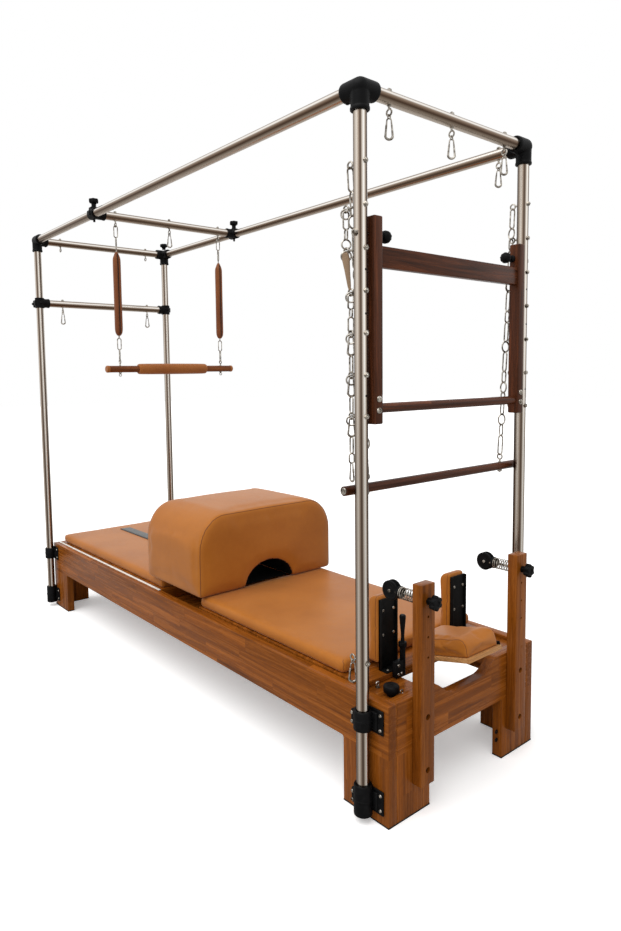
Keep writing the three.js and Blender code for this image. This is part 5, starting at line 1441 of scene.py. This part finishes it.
@dataclass
class PushThroughBar:
    """The push-through bar on its two pivot bolts."""

    hardware: Hardware
    arm_x: Pair = (1183.0, 1221.0)
    arm_y: Pair = (335.0, 369.0)
    arm_z: Pair = (1152.0, 1720.0)
    board_x: Pair = (1190.0, 1214.0)
    board_z: Pair = (1584.0, 1642.0)
    bar_z: float = 1196.0
    bar_radius: float = 14.0
    pivot: Pair = (1194.0, 1672.0)
    screws: Sequence[float] = (1222.0, 1190.0)

    def build(self) -> None:
        """Builds the frame, and the pivots that stay on the uprights."""
        pivot_x, pivot_z = self.pivot
        for side, sign in SIDES.items():
            faces = sorted(sign * value for value in self.arm_y)
            arm = slab(f"push_post_{side}", self.arm_x, faces, self.arm_z, 4.0, 3)
            bore = round_bar("bore", spot(pivot_x, faces[0] - 5, pivot_z), spot(pivot_x, faces[1] + 5, pivot_z),
                             6.0, 32, 0.1)
            fitted(carved(arm, bore), WALNUT_POST, Body.PUSH_BAR, f"push_arm_{side}")
            domes = [copied(self.hardware.dome, "dome", aimed(spot(self.arm_x[1], sign * 352, z), EAST, NORTH))
                     for z in self.screws]
            fitted(joined(f"push_post_screws_{side}", *domes), BRIGHT, Body.PUSH_BAR)
            self.build_pivot(side, sign)
        reach = self.arm_y[0] - 0.3
        board = slab("push_cross_board", self.board_x, (-reach, reach), self.board_z, 3.0, 3)
        fitted(board, WALNUT_CROSS, Body.PUSH_BAR, "push_board")
        middle = sum(self.arm_x) / 2
        bar = round_bar("push_round_bar", spot(middle, -reach, self.bar_z), spot(middle, reach, self.bar_z),
                        self.bar_radius, 44, 0.6)
        fitted(bar, WALNUT_CROSS, Body.PUSH_BAR, "push_bar")

    def build_pivot(self, side: str, sign: int) -> None:
        """A pivot bolt: its head outside the upright and its ball knob inside the arm."""
        x, z = self.pivot

        def on(y: float) -> Vector:
            """A point on the bolt's line."""
            return spot(x, sign * y, z)

        knob = copied(self.hardware.ball_knob, "ball", aimed(on(296), NORTH * -sign, UP))
        neck = turned("neck", [(12, 0), (12, 4), (9, 7), (7.4, 12), (7.4, 22), (9, 26)], 32,
                      aimed(on(334.7), NORTH * -sign, UP))
        fitted(joined(f"pivot_ball_{side}", knob, neck), BLACK, Body.FRAME, f"pivot_knob_{side}")
        rod = round_bar("rod", on(420), on(320), 5.0, 24, 0.4)
        head = turned("head", [(9.6, 0), (10.2, 0.6), (10.2, 6.4), (8.8, 8), (4.6, 8), (4.4, 5)], 6,
                      aimed(on(414.3), NORTH * sign, UP))
        fitted(joined(f"pivot_bolt_{side}", rod, head), BRIGHT, Body.FRAME)


@dataclass
class RollDownBar:
    """The roll-down bar on its two chains."""

    hardware: Hardware
    x: float = 1156.0
    z: float = 965.0
    half: float = 430.0
    radius: float = 14.0
    eye_y: float = 334.0
    hang_y: float = 395.0
    hang_z: float = 1859.0
    cap: float = 3.0

    def build(self) -> None:
        """Builds the bar and both chains."""
        x, z = self.x, self.z
        inner = self.half - self.cap
        bar = round_bar("roll_down_wood", spot(x, -inner, z), spot(x, inner, z), self.radius, 44, 0.4)
        fitted(bar, WALNUT_CROSS, Body.ROLL_DOWN, "roll_down_bar")
        outline = [(10.4, -2), (10.4, 1.6), (9.6, 2.6), (7.2, 2.8), (6.8, 1.4), (5.2, 1.4), (5.2, 2.8), (2.4, 2.8),
                   (2.2, 1.2)]
        caps = [turned("cap", outline, 44, aimed(spot(x, sign * inner, z), NORTH * sign, UP)) for sign in (-1, 1)]
        bolts = self.hardware.bolts("roll", [spot(x, sign * self.eye_y, z) for sign in (-1, 1)], UP)
        fitted(joined("roll_down_fittings", *caps, *bolts), BRIGHT, Body.ROLL_DOWN)
        kinds = {
            "near": "link link ring hook short ring hook link short link hook ring link short ring hook",
            "far": "link ring short link hook link short link ring link short ring short short ring short link",
        }
        for side, sign in SIDES.items():
            top = spot(x, sign * self.hang_y, self.hang_z - 3.2)
            foot = spot(x, sign * self.eye_y, z + self.radius + 19 + 3.2)
            chain = self.hardware.chain(f"roll_down_links_{side}", top, foot, kinds[side])
            fitted(chain, BRIGHT, Body.ROLL_DOWN, f"roll_down_chain_{side}")


@dataclass
class Carriage:
    """The carriage: base on wheels, padded top, shoulder rests and lever post."""

    hardware: Hardware
    base_x: Pair = (216.0, 1128.0)
    base_half: float = 328.0
    base_z: Pair = (345.7, 363.7)
    wheel_x: Sequence[float] = (306.0, 998.0)
    wheel_z: float = 328.3
    hinge: Pair = (1120.0, 367.7)
    pad_x: Pair = (216.0, 1050.0)
    pad_half: float = 332.0
    pad_z: Pair = (364.0, 410.0)
    rest_y: float = 180.0
    bracket_x: Pair = (1092.6, 1120.6)
    bracket_half: float = 38.0
    bracket_z: Pair = (364.0, 590.0)
    shoulder_x: Pair = (1050.3, 1092.3)
    shoulder_half: float = 42.0
    shoulder_z: Pair = (383.7, 601.7)

    def build(self) -> None:
        """Builds the carriage."""
        self.build_base()
        self.build_pad()
        for side, sign in SIDES.items():
            self.build_bracket(side, sign)
            self.build_shoulder_pad(side, sign)
        self.build_lever()

    def build_base(self) -> None:
        """The plywood base with its hinge barrel, wheels and wheel plates."""
        half = self.base_half
        base = slab("carriage_board", self.base_x, (-half, half), self.base_z, 1.6, 2)
        fitted(base, OAK_DECK, Body.CARRIAGE, "carriage_base", slot=Slot.PLY)
        x, z = self.hinge
        barrel = round_bar("hinge_barrel", spot(x, -70, z), spot(x, 70, z), 5.0, 28, 0.5)
        fitted(barrel, BRIGHT, Body.CARRIAGE)
        tread = [(7, 0), (14, 0.4), (16, 2), (16, 18), (14, 19.6), (7, 20), (6.6, 18)]
        wheels, plates = [], []
        for sign in (-1, 1):
            for wheel_x in self.wheel_x:
                wheels.append(turned("wheel", tread, 40,
                                     aimed(spot(wheel_x, sign * 305, self.wheel_z), NORTH * sign, UP)))
                inner = sorted((sign * 302.0, sign * 292.0))
                plates.append(slab("plate", (wheel_x - 16, wheel_x + 16), inner,
                                   (self.wheel_z - 8, self.base_z[0]), 1.0))
                plates.append(round_bar("axle", spot(wheel_x, sign * 290, self.wheel_z),
                                        spot(wheel_x, sign * 306, self.wheel_z), 4.0, 20, 0.4))
        fitted(joined("carriage_wheels", *wheels), RUBBER, Body.CARRIAGE)
        fitted(joined("wheel_plates", *plates), BRIGHT, Body.CARRIAGE)

    def build_pad(self) -> None:
        """The padded top with its corner seams."""
        form = slab("carriage_cushion", (self.pad_x[0] + 2, self.pad_x[1] - 2),
                    (2 - self.pad_half, self.pad_half - 2), (self.pad_z[0], self.pad_z[1] - 4), 9.0, 4)
        pad = Stuffing(voxel=7.5, pressure=3.0, cap=4.0, bottom=self.pad_z[0]).swell(form)
        fitted(pad, TAN, Body.CARRIAGE, "carriage_pad")
        seams = corner_seams(pad, self.pad_x, self.pad_half, self.pad_z)
        fitted(joined("carriage_cushion_seams", *seams), SEAM, Body.CARRIAGE)

    def build_bracket(self, side: str, sign: int) -> None:
        """A channel bracket with its web against the pad, and its screws."""
        y, half = sign * self.rest_y, self.bracket_half
        x0, x1 = self.bracket_x
        z0, z1 = self.bracket_z
        parts = [slab("web", (x0, x0 + 6), (y - half, y + half), (z0, z1), 1.2)]
        for edge in (-1, 1):
            faces = sorted((y + edge * half, y + edge * (half - 5)))
            parts.append(slab("flange", (x0, x0 + 13), faces, (z0, z1), 1.2))
        parts.append(slab("foot", (x0, x1 + 7), (y - half, y + half), (z0, z0 + 5), 1.2))
        fitted(joined(f"shoulder_channel_{side}", *parts), BLACK_METAL, Body.CARRIAGE, f"shoulder_bracket_{side}")
        kit = self.hardware
        heads = kit.heads([spot(x0 + 6, y + dy, z0 + dz) for dy in (-24, 24) for dz in (112, 190)], EAST, NORTH)
        heads += kit.heads([spot(x0 + 26, y + dy, z0 + 5) for dy in (-24, 24)], UP, NORTH)
        fitted(joined(f"shoulder_channel_screws_{side}", *heads), BRIGHT, Body.CARRIAGE)

    def build_shoulder_pad(self, side: str, sign: int) -> None:
        """A shoulder pad, with a big round at its front top, and a seam beside the bracket."""
        y, half = sign * self.rest_y, self.shoulder_half
        x0, x1 = self.shoulder_x
        z0, z1 = self.shoulder_z
        form = slab(f"shoulder_cushion_{side}", (x0 - 2, x1), (y - half + 2, y + half - 2), (z0 + 1, z1 - 2), 0.0)
        front, top = spot(x0 - 2, 0, 0).x, (z1 - 2) * MM
        with editing(form):
            pick(form, Pick.VERTICES, lambda place: place.x < front + MM and place.z > top - MM)
            bpy.ops.mesh.bevel(offset=30 * MM, segments=8, affect="EDGES")
        modified(form, "BEVEL", width=7 * MM, segments=3, limit_method="ANGLE", angle_limit=SHARP)
        back = spot(x1 - 8, 0, 0).x

        def free(points: np.ndarray) -> np.ndarray:
            """Held against the bracket, and free in front of it."""
            return (points[:, 0] < back).astype(float)

        pad = Stuffing(voxel=3.4, pressure=4.0, cap=4.0).swell(form, free)
        fitted(pad, TAN, Body.CARRIAGE, f"shoulder_pad_{side}")
        x, low, high = x1 - 9, z0 + 6, z1 + 4
        piping = seam(f"shoulder_seam_{side}", pad, along(
            spot(x, y - half - 4, low), spot(x, y - half - 4, high), spot(x, y + half + 4, high),
            spot(x, y + half + 4, low)), 0.9)
        fitted(piping, SEAM, Body.CARRIAGE)

    def build_lever(self) -> None:
        """The black lever post beside the near shoulder rest."""
        x, y, z = 1138.6, -158.0, self.bracket_z[0]
        lever = turned("lever_post", [
            (8.4, -16), (9, -15), (9, 74), (12.4, 76), (13.2, 79), (13.2, 88), (12, 91), (6.6, 93), (5.4, 106),
            (6.0, 122), (8.4, 148), (10.2, 170), (9.8, 175), (7.2, 178)], 32, Matrix.Translation(spot(x, y, z)))
        fitted(lever, BLACK, Body.CARRIAGE)
        base = slab("lever_base", (x - 10, x + 8), (y - 38, y - 2), (z - 16, z + 36), 3.0, 3)
        fitted(base, BLACK, Body.CARRIAGE)
        heads = self.hardware.heads(
            [spot(x + 8, y + dy, z + dz) for dy, dz in ((-28, 24), (-14, -4), (-28, -4))], EAST, NORTH)
        fitted(joined("lever_screws", *heads), BRIGHT, Body.CARRIAGE)


def corner_seams(pad: Piece, x: Sequence[float], half: float, z: Sequence[float]) -> list[Piece]:
    """Short upright seams at a flat cushion's four corners."""
    seams = []
    for corner_x, sign_x in zip(x, (-1, 1)):
        for sign_y in (-1, 1):
            foot = spot(corner_x + sign_x * 8, sign_y * (half + 8), z[0] + 3)
            head = spot(corner_x + sign_x * 4, sign_y * (half + 4), z[1] - 3)
            inner = spot(corner_x - sign_x * 14, sign_y * (half - 14), z[1] + 8)
            seams.append(seam("corner_seam", pad, along(foot, head, inner, step=3.0), 0.8))
    return seams


@dataclass
class HeadRest:
    """The head rest: plywood board, wedge cushion, catch and prop strap, all turned about the hinge."""

    hinge: Pair = (1120.0, 367.7)
    tilt: float = 14.0
    length: float = 222.0
    half: float = 86.0
    seat: float = 5.3
    board: float = 14.0
    cushion: float = 50.0

    def stance(self) -> Matrix:
        """The placement about the hinge, tilted as at rest."""
        x, z = self.hinge
        return Matrix.Translation(spot(x, 0, z)) @ Matrix.Rotation(-math.radians(self.tilt), 4, "Y")

    def placed(self, piece: Piece) -> Piece:
        """Puts a piece that was modelled about the hinge in its place."""
        piece.data.transform(self.stance())
        return piece

    def build(self) -> None:
        """Builds the head rest."""
        half, low = self.half, self.seat
        board = slab("rest_board", (0, self.length), (-half, half), (low, low + self.board), 1.8, 2, True)
        fitted(self.placed(board), PLYWOOD, Body.HEAD_REST, "headrest_board")
        base, top = low + self.board + 0.3, low + self.board + self.cushion + 8
        end = self.length - 6
        form = slab("rest_cushion", (5, end), (4 - half, half - 4), (base, top - 3), 0.0, 1, True)
        with editing(form):
            pick(form, Pick.VERTICES, lambda place: place.x > (end - 1) * MM and place.z > (top - 4) * MM)
            bpy.ops.mesh.bevel(offset=26 * MM, segments=8, affect="EDGES")
            pick(form, Pick.VERTICES, lambda place: place.z > (top - 34) * MM)
            bpy.ops.transform.resize(value=(1, 0.95, 1), center_override=(110 * MM, 0, base * MM))
        modified(form, "BEVEL", width=6 * MM, segments=3, limit_method="ANGLE", angle_limit=SHARP)
        floor = (base + 2) * MM

        def free(points: np.ndarray) -> np.ndarray:
            """Held on the board, and free above it."""
            return (points[:, 2] > floor).astype(float)

        pad = self.placed(Stuffing(voxel=3.6, pressure=4.0, cap=5.0).swell(form, free))
        fitted(pad, TAN, Body.HEAD_REST, "headrest_cushion")
        self.build_seams(pad, base, top)
        strap = slab("rest_prop_strap", (14, 150), (-24, 24), (low - 3.2, low - 0.2), 0.8, 2, True)
        fitted(self.placed(strap), BLACK_WEBBING_AND_EDGE_SHADOW, Body.HEAD_REST)
        end = self.length
        catch = joined(
            "rest_catch",
            slab("plate", (end - 26, end - 6), (half + 0.2, half + 3.4), (low, low + 24), 0.8, 2, True),
            slab("tongue", (end - 22, end - 10), (half + 3, half + 7), (low + 6, low + 20), 1.4, 2, True))
        fitted(self.placed(catch), BLACK_METAL, Body.HEAD_REST)

    def build_seams(self, pad: Piece, base: float, top: float) -> None:
        """A seam along each side, over the top and down the round end."""
        stance = self.stance()

        def on(px: float, py: float, pz: float) -> Vector:
            """A point given about the hinge, in its tilted place."""
            return stance @ (Vector((px, py, pz)) * MM)

        seams = []
        end, bend = self.length - 4, 26.0
        arc = [(end - bend + bend * math.sin(a), top - bend + bend * math.cos(a))
               for a in (math.pi / 2 * i / 10 for i in range(11))]
        for sign in (-1, 1):
            points = [on(px, sign * (self.half - 6), pz)
                      for px, pz in ((8, base + 4), (10, top), *arc, (end, base + 4))]
            seams.append(seam("rest_seam", pad, along(*points, step=4.0), 0.8))
        fitted(joined("rest_cushion_seams", *seams), SEAM, Body.HEAD_REST)


@dataclass
class MatAndBox:
    """The foot mat with its strap, and the arch box that stands on it and the carriage."""

    mat_x: Pair = (-1231.0, -84.0)
    mat_half: float = 332.0
    mat_bottom: float = 312.3
    pad_bottom: float = 364.0
    mat_top: float = 410.0
    tray_x: Pair = (-140.0, 214.0)
    tray_half: float = 298.0
    tray_z: Pair = (298.5, 311.8)
    strap_x: Pair = (-1111.0, -175.0)
    strap_half: float = 31.0
    box_x: Pair = (-172.0, 270.0)
    box_half: float = 356.0
    box_bottom: float = 410.3
    box_height: float = 330.0
    box_round: Pair = (128.0, 150.0)
    arch: Pair = (125.0, 96.0)

    def build(self) -> None:
        """Builds the mat, the strap and the box."""
        self.build_mat()
        self.build_strap()
        self.build_box()

    def build_mat(self) -> None:
        """The mat's cushion on its wooden underlay."""
        half = self.mat_half
        under = slab("mat_underlay", self.mat_x, (-half + 1, half - 1), (self.mat_bottom, self.pad_bottom), 1.6)
        fitted(under, OAK_DECK, Body.MAT, slot=Slot.PLY)
        tray = slab("mat_tray", self.tray_x, (-self.tray_half, self.tray_half), self.tray_z, 1.6)
        fitted(tray, OAK_DECK, Body.MAT, slot=Slot.PLY)
        trims = [slab("trim", (self.mat_x[0] - 28, self.mat_x[1]), sorted((sign * (half + 3), sign * (half + 15))),
                      (self.pad_bottom - 3.4, self.pad_bottom - 0.8), 0.8) for sign in (-1, 1)]
        fitted(joined("mat_board_edges", *trims), PALE_EDGE, Body.MAT)
        form = slab("mat_cushion", (self.mat_x[0] + 2, self.mat_x[1] - 2), (2 - half, half - 2),
                    (self.pad_bottom, self.mat_top - 4), 9.0, 4)
        pad = Stuffing(voxel=8.5, pressure=3.0, cap=4.0, bottom=self.pad_bottom).swell(form)
        fitted(pad, TAN, Body.MAT, "foot_mat")
        seams = corner_seams(pad, self.mat_x, half, (self.pad_bottom, self.mat_top))
        fitted(joined("mat_cushion_seams", *seams), SEAM, Body.MAT)

    def build_strap(self) -> None:
        """The flat strap let into the mat, grey, with a black band along its near edge as painted shadow under that
        edge.
        """
        half = self.strap_half
        z = (self.mat_top - 0.6, self.mat_top + 3.0)
        band = slab("strap_band", self.strap_x, (-half + 9, half), z, 1.0, 2)
        fitted(band, STRAP_GREY, Body.MAT, "mat_strap")
        # Painted shadow: a black band along the strap's near edge.
        edge = slab("strap_edge_shadow", self.strap_x, (-half - 1, -half + 9), (z[0], z[1] + 1.2), 1.4, 2)
        fitted(edge, BLACK_WEBBING_AND_EDGE_SHADOW, Body.MAT)

    def build_box(self) -> None:
        """The arch box: swelled leather over the drawn form, with a seam round each end face, and its tunnel painted
        near black as painted shade.
        """
        form = from_drawing("arch_box", "arch_box_cover", 8.0)
        arch_y, arch_z = self.arch
        bottom = self.box_bottom * MM

        def in_arch(points: np.ndarray, margin: float) -> np.ndarray:
            """Whether each point lies in the arch, with a margin round it."""
            across = points[:, 1] / ((arch_y + margin) * MM)
            rise = (points[:, 2] - bottom) / ((arch_z + margin) * MM)
            return across ** 2 + rise ** 2 < 1

        def free(points: np.ndarray) -> np.ndarray:
            """Held in the arch and along the floor, and free elsewhere."""
            floor = points[:, 2] < bottom + 2 * MM
            return 1.0 - (in_arch(points, 6) | floor).astype(float)

        box = Stuffing(voxel=7.0, pressure=3.2, cap=4.0, bottom=self.box_bottom, calm=12).swell(form, free)
        crown = spot(sum(self.box_x) / 2, 0, self.box_bottom + self.box_height)
        with editing(box):
            pick(box, Pick.VERTICES, lambda place: (place - crown).length < 30 * MM)
            bpy.ops.transform.translate(value=(0, 0, 8 * MM), use_proportional_edit=True,
                                        proportional_edit_falloff="SMOOTH", proportional_size=0.34)
        box.data.materials.clear()
        box.data.materials.append(TAN.material())
        box.data.materials.append(ARCH_PAINTED_SHADE.material())
        ends = [spot(x + inset, 0, 0).x for x, inset in zip(self.box_x, (3, -3))]
        centres = np.array([list(face.center) for face in box.data.polygons])
        # Faces inside the arch take the near-black second material: painted shade.
        painted_shade_faces = in_arch(centres, 3) & (centres[:, 0] > ends[0]) & (centres[:, 0] < ends[1])
        box.data.polygons.foreach_set("material_index", painted_shade_faces.astype(np.int32))
        fitted(box, TAN, Body.BOX, "arch_box")
        seams = []
        for x, inward in zip(self.box_x, (1, -1)):
            seams.append(seam("box_seam", box, self.profile(x + inward * 1.5, 2.5), 1.2, sink=0.1))
            arch = [spot(x, math.cos(a) * arch_y, self.box_bottom + math.sin(a) * arch_z)
                    for a in (math.pi * i / 48 for i in range(1, 48))]
            seams.append(seam("arch_seam", box, arch, 1.0, sink=0.1))
        fitted(joined("arch_box_seams", *seams), SEAM, Body.BOX)
        # A near-black sheet on the tunnel floor: painted shade.
        floor = slab("arch_floor_painted_shade", (self.box_x[0] + 5, self.box_x[1] - 40), (-arch_y - 2, arch_y + 2),
                     (self.box_bottom + 0.1, self.box_bottom + 1.6), 0.4)
        fitted(floor, ARCH_PAINTED_SHADE, Body.BOX)

    def profile(self, x: float, inset: float) -> list[Vector]:
        """The box's outline over its two round shoulders, set in a little.

        Args:
            x: Where along the bed it is drawn.
            inset: How far inside the outer form it runs.

        Returns:
            Its points from the near foot to the far foot.
        """
        across, down = self.box_round
        half = self.box_half - inset
        top = self.box_bottom + self.box_height - inset
        shoulder_y, shoulder_z = self.box_half - across, self.box_bottom + self.box_height - down
        near = [(-shoulder_y - math.cos(a) * (across - inset), shoulder_z + math.sin(a) * (down - inset))
                for a in (math.pi / 2 * i / 24 for i in range(25))]
        outline = [(-half, self.box_bottom + 4), *near]
        flat = [(y, top) for y in np.linspace(-shoulder_y, 0, 30)[1:-1]]
        outline += flat
        points = [*outline, (0.0, top), *[(-y, z) for y, z in reversed(outline)]]
        return along(*[spot(x, y, z) for y, z in points], step=7.0)


@dataclass
class Studio:
    """Floor, soft light and the photograph's camera."""

    eye: tuple[float, float, float] = (2.49747, -1.74002, 1.28945)
    yaw: float = 0.896696
    pitch: float = 0.081019
    roll: float = -0.014857
    focal: float = 673.687
    centre: Pair = (275.643, 430.877)
    frame: tuple[int, int] = (621, 931)
    sensor: float = 36.0
    sun: float = 1.8
    sun_way: tuple[float, float, float] = (-0.06, 0.58, -1.0)
    ambience: float = 0.68
    floor_glow: float = 0.3

    def build(self) -> None:
        """Sets up the studio."""
        self.build_floor()
        self.build_light()
        self.build_world()
        self.build_camera()

    def build_floor(self) -> None:
        """A plain pale floor that is whiter to the camera than to the light it throws back."""
        clear_selection()
        bpy.ops.mesh.primitive_plane_add(size=60.0)
        floor = bpy.context.object
        floor.name = "studio_floor"
        sheet = NodeSheet("studio_floor")
        seen = sheet.add("ShaderNodeLightPath").outputs["Is Camera Ray"]
        floor.data.materials.append(sheet.finish(
            Base_Color=sheet.blend(seen, (0.5, 0.49, 0.48, 1), (1, 1, 1, 1)), Roughness=0.95,
            Specular_IOR_Level=0.0, Emission_Color=(1, 1, 1, 1),
            Emission_Strength=sheet.sums("MULTIPLY", seen, self.floor_glow)))

    def build_light(self) -> None:
        """One broad, soft sun."""
        sun = bpy.data.lights.new("soft_sun", "SUN")
        sun.energy = self.sun
        sun.angle = math.radians(60)
        lamp = bpy.data.objects.new("soft_sun", sun)
        lamp.rotation_euler = Vector(self.sun_way).to_track_quat("-Z", "Y").to_euler()
        bpy.context.scene.collection.objects.link(lamp)

    def build_world(self) -> None:
        """Even light, and a white background for the camera, metal and glass."""
        world = bpy.data.worlds.new("studio")
        bpy.context.scene.world = world
        world.use_nodes = True
        nodes, link = world.node_tree.nodes, world.node_tree.links.new
        nodes.clear()
        path = nodes.new("ShaderNodeLightPath")
        seen = path.outputs["Is Camera Ray"]
        for other in ("Is Glossy Ray", "Is Transmission Ray"):
            either = nodes.new("ShaderNodeMath")
            either.operation = "MAXIMUM"
            link(seen, either.inputs[0])
            link(path.outputs[other], either.inputs[1])
            seen = either.outputs[0]
        mix = nodes.new("ShaderNodeMixShader")
        link(seen, mix.inputs[0])
        for socket, colour, strength in (
                (mix.inputs[1], (1.0, 0.995, 0.985, 1), self.ambience), (mix.inputs[2], (1, 1, 1, 1), 1.0)):
            background = nodes.new("ShaderNodeBackground")
            background.inputs["Color"].default_value = colour
            background.inputs["Strength"].default_value = strength
            link(background.outputs[0], socket)
        link(mix.outputs[0], nodes.new("ShaderNodeOutputWorld").inputs["Surface"])
        bpy.context.scene.view_settings.view_transform = "Standard"

    def build_camera(self) -> None:
        """The camera that was solved from the photograph."""
        yaw, pitch, roll = self.yaw, self.pitch, self.roll
        ahead = Vector((-math.sin(yaw) * math.cos(pitch), math.cos(yaw) * math.cos(pitch), -math.sin(pitch)))
        level = Vector((math.cos(yaw), math.sin(yaw), 0))
        above = level.cross(ahead)
        right = level * math.cos(roll) + above * math.sin(roll)
        above = above * math.cos(roll) - level * math.sin(roll)
        turn = Matrix((right, above, -ahead)).transposed()
        data = bpy.data.cameras.new("camera")
        width, height = self.frame
        data.sensor_width = self.sensor
        data.lens = self.focal * self.sensor / height
        data.shift_x = (width / 2 - self.centre[0]) / height
        data.shift_y = (self.centre[1] - height / 2) / height
        data.clip_end = 100.0
        camera = bpy.data.objects.new("camera", data)
        camera.rotation_euler = turn.to_euler()
        camera.location = (self.eye[0] + DATUM_X, self.eye[1], self.eye[2])
        bpy.context.scene.collection.objects.link(camera)
        bpy.context.scene.camera = camera


def main() -> None:
    """Builds the studio and the sub-assemblies in order, then removes the patterns."""
    logging.basicConfig(level=logging.INFO, format="%(message)s")
    Studio().build()
    hardware = Hardware()
    for assembly in (
            BedFrame(hardware), Risers(hardware), Tower(hardware), SlidingBars(hardware), Trapeze(hardware),
            PushThroughBar(hardware), RollDownBar(hardware), Carriage(hardware), HeadRest(), MatAndBox()):
        LOG.info("building %s", type(assembly).__name__)
        assembly.build()
    hardware.clean_up()
    clear_selection()


if __name__ == "__main__":
    main()
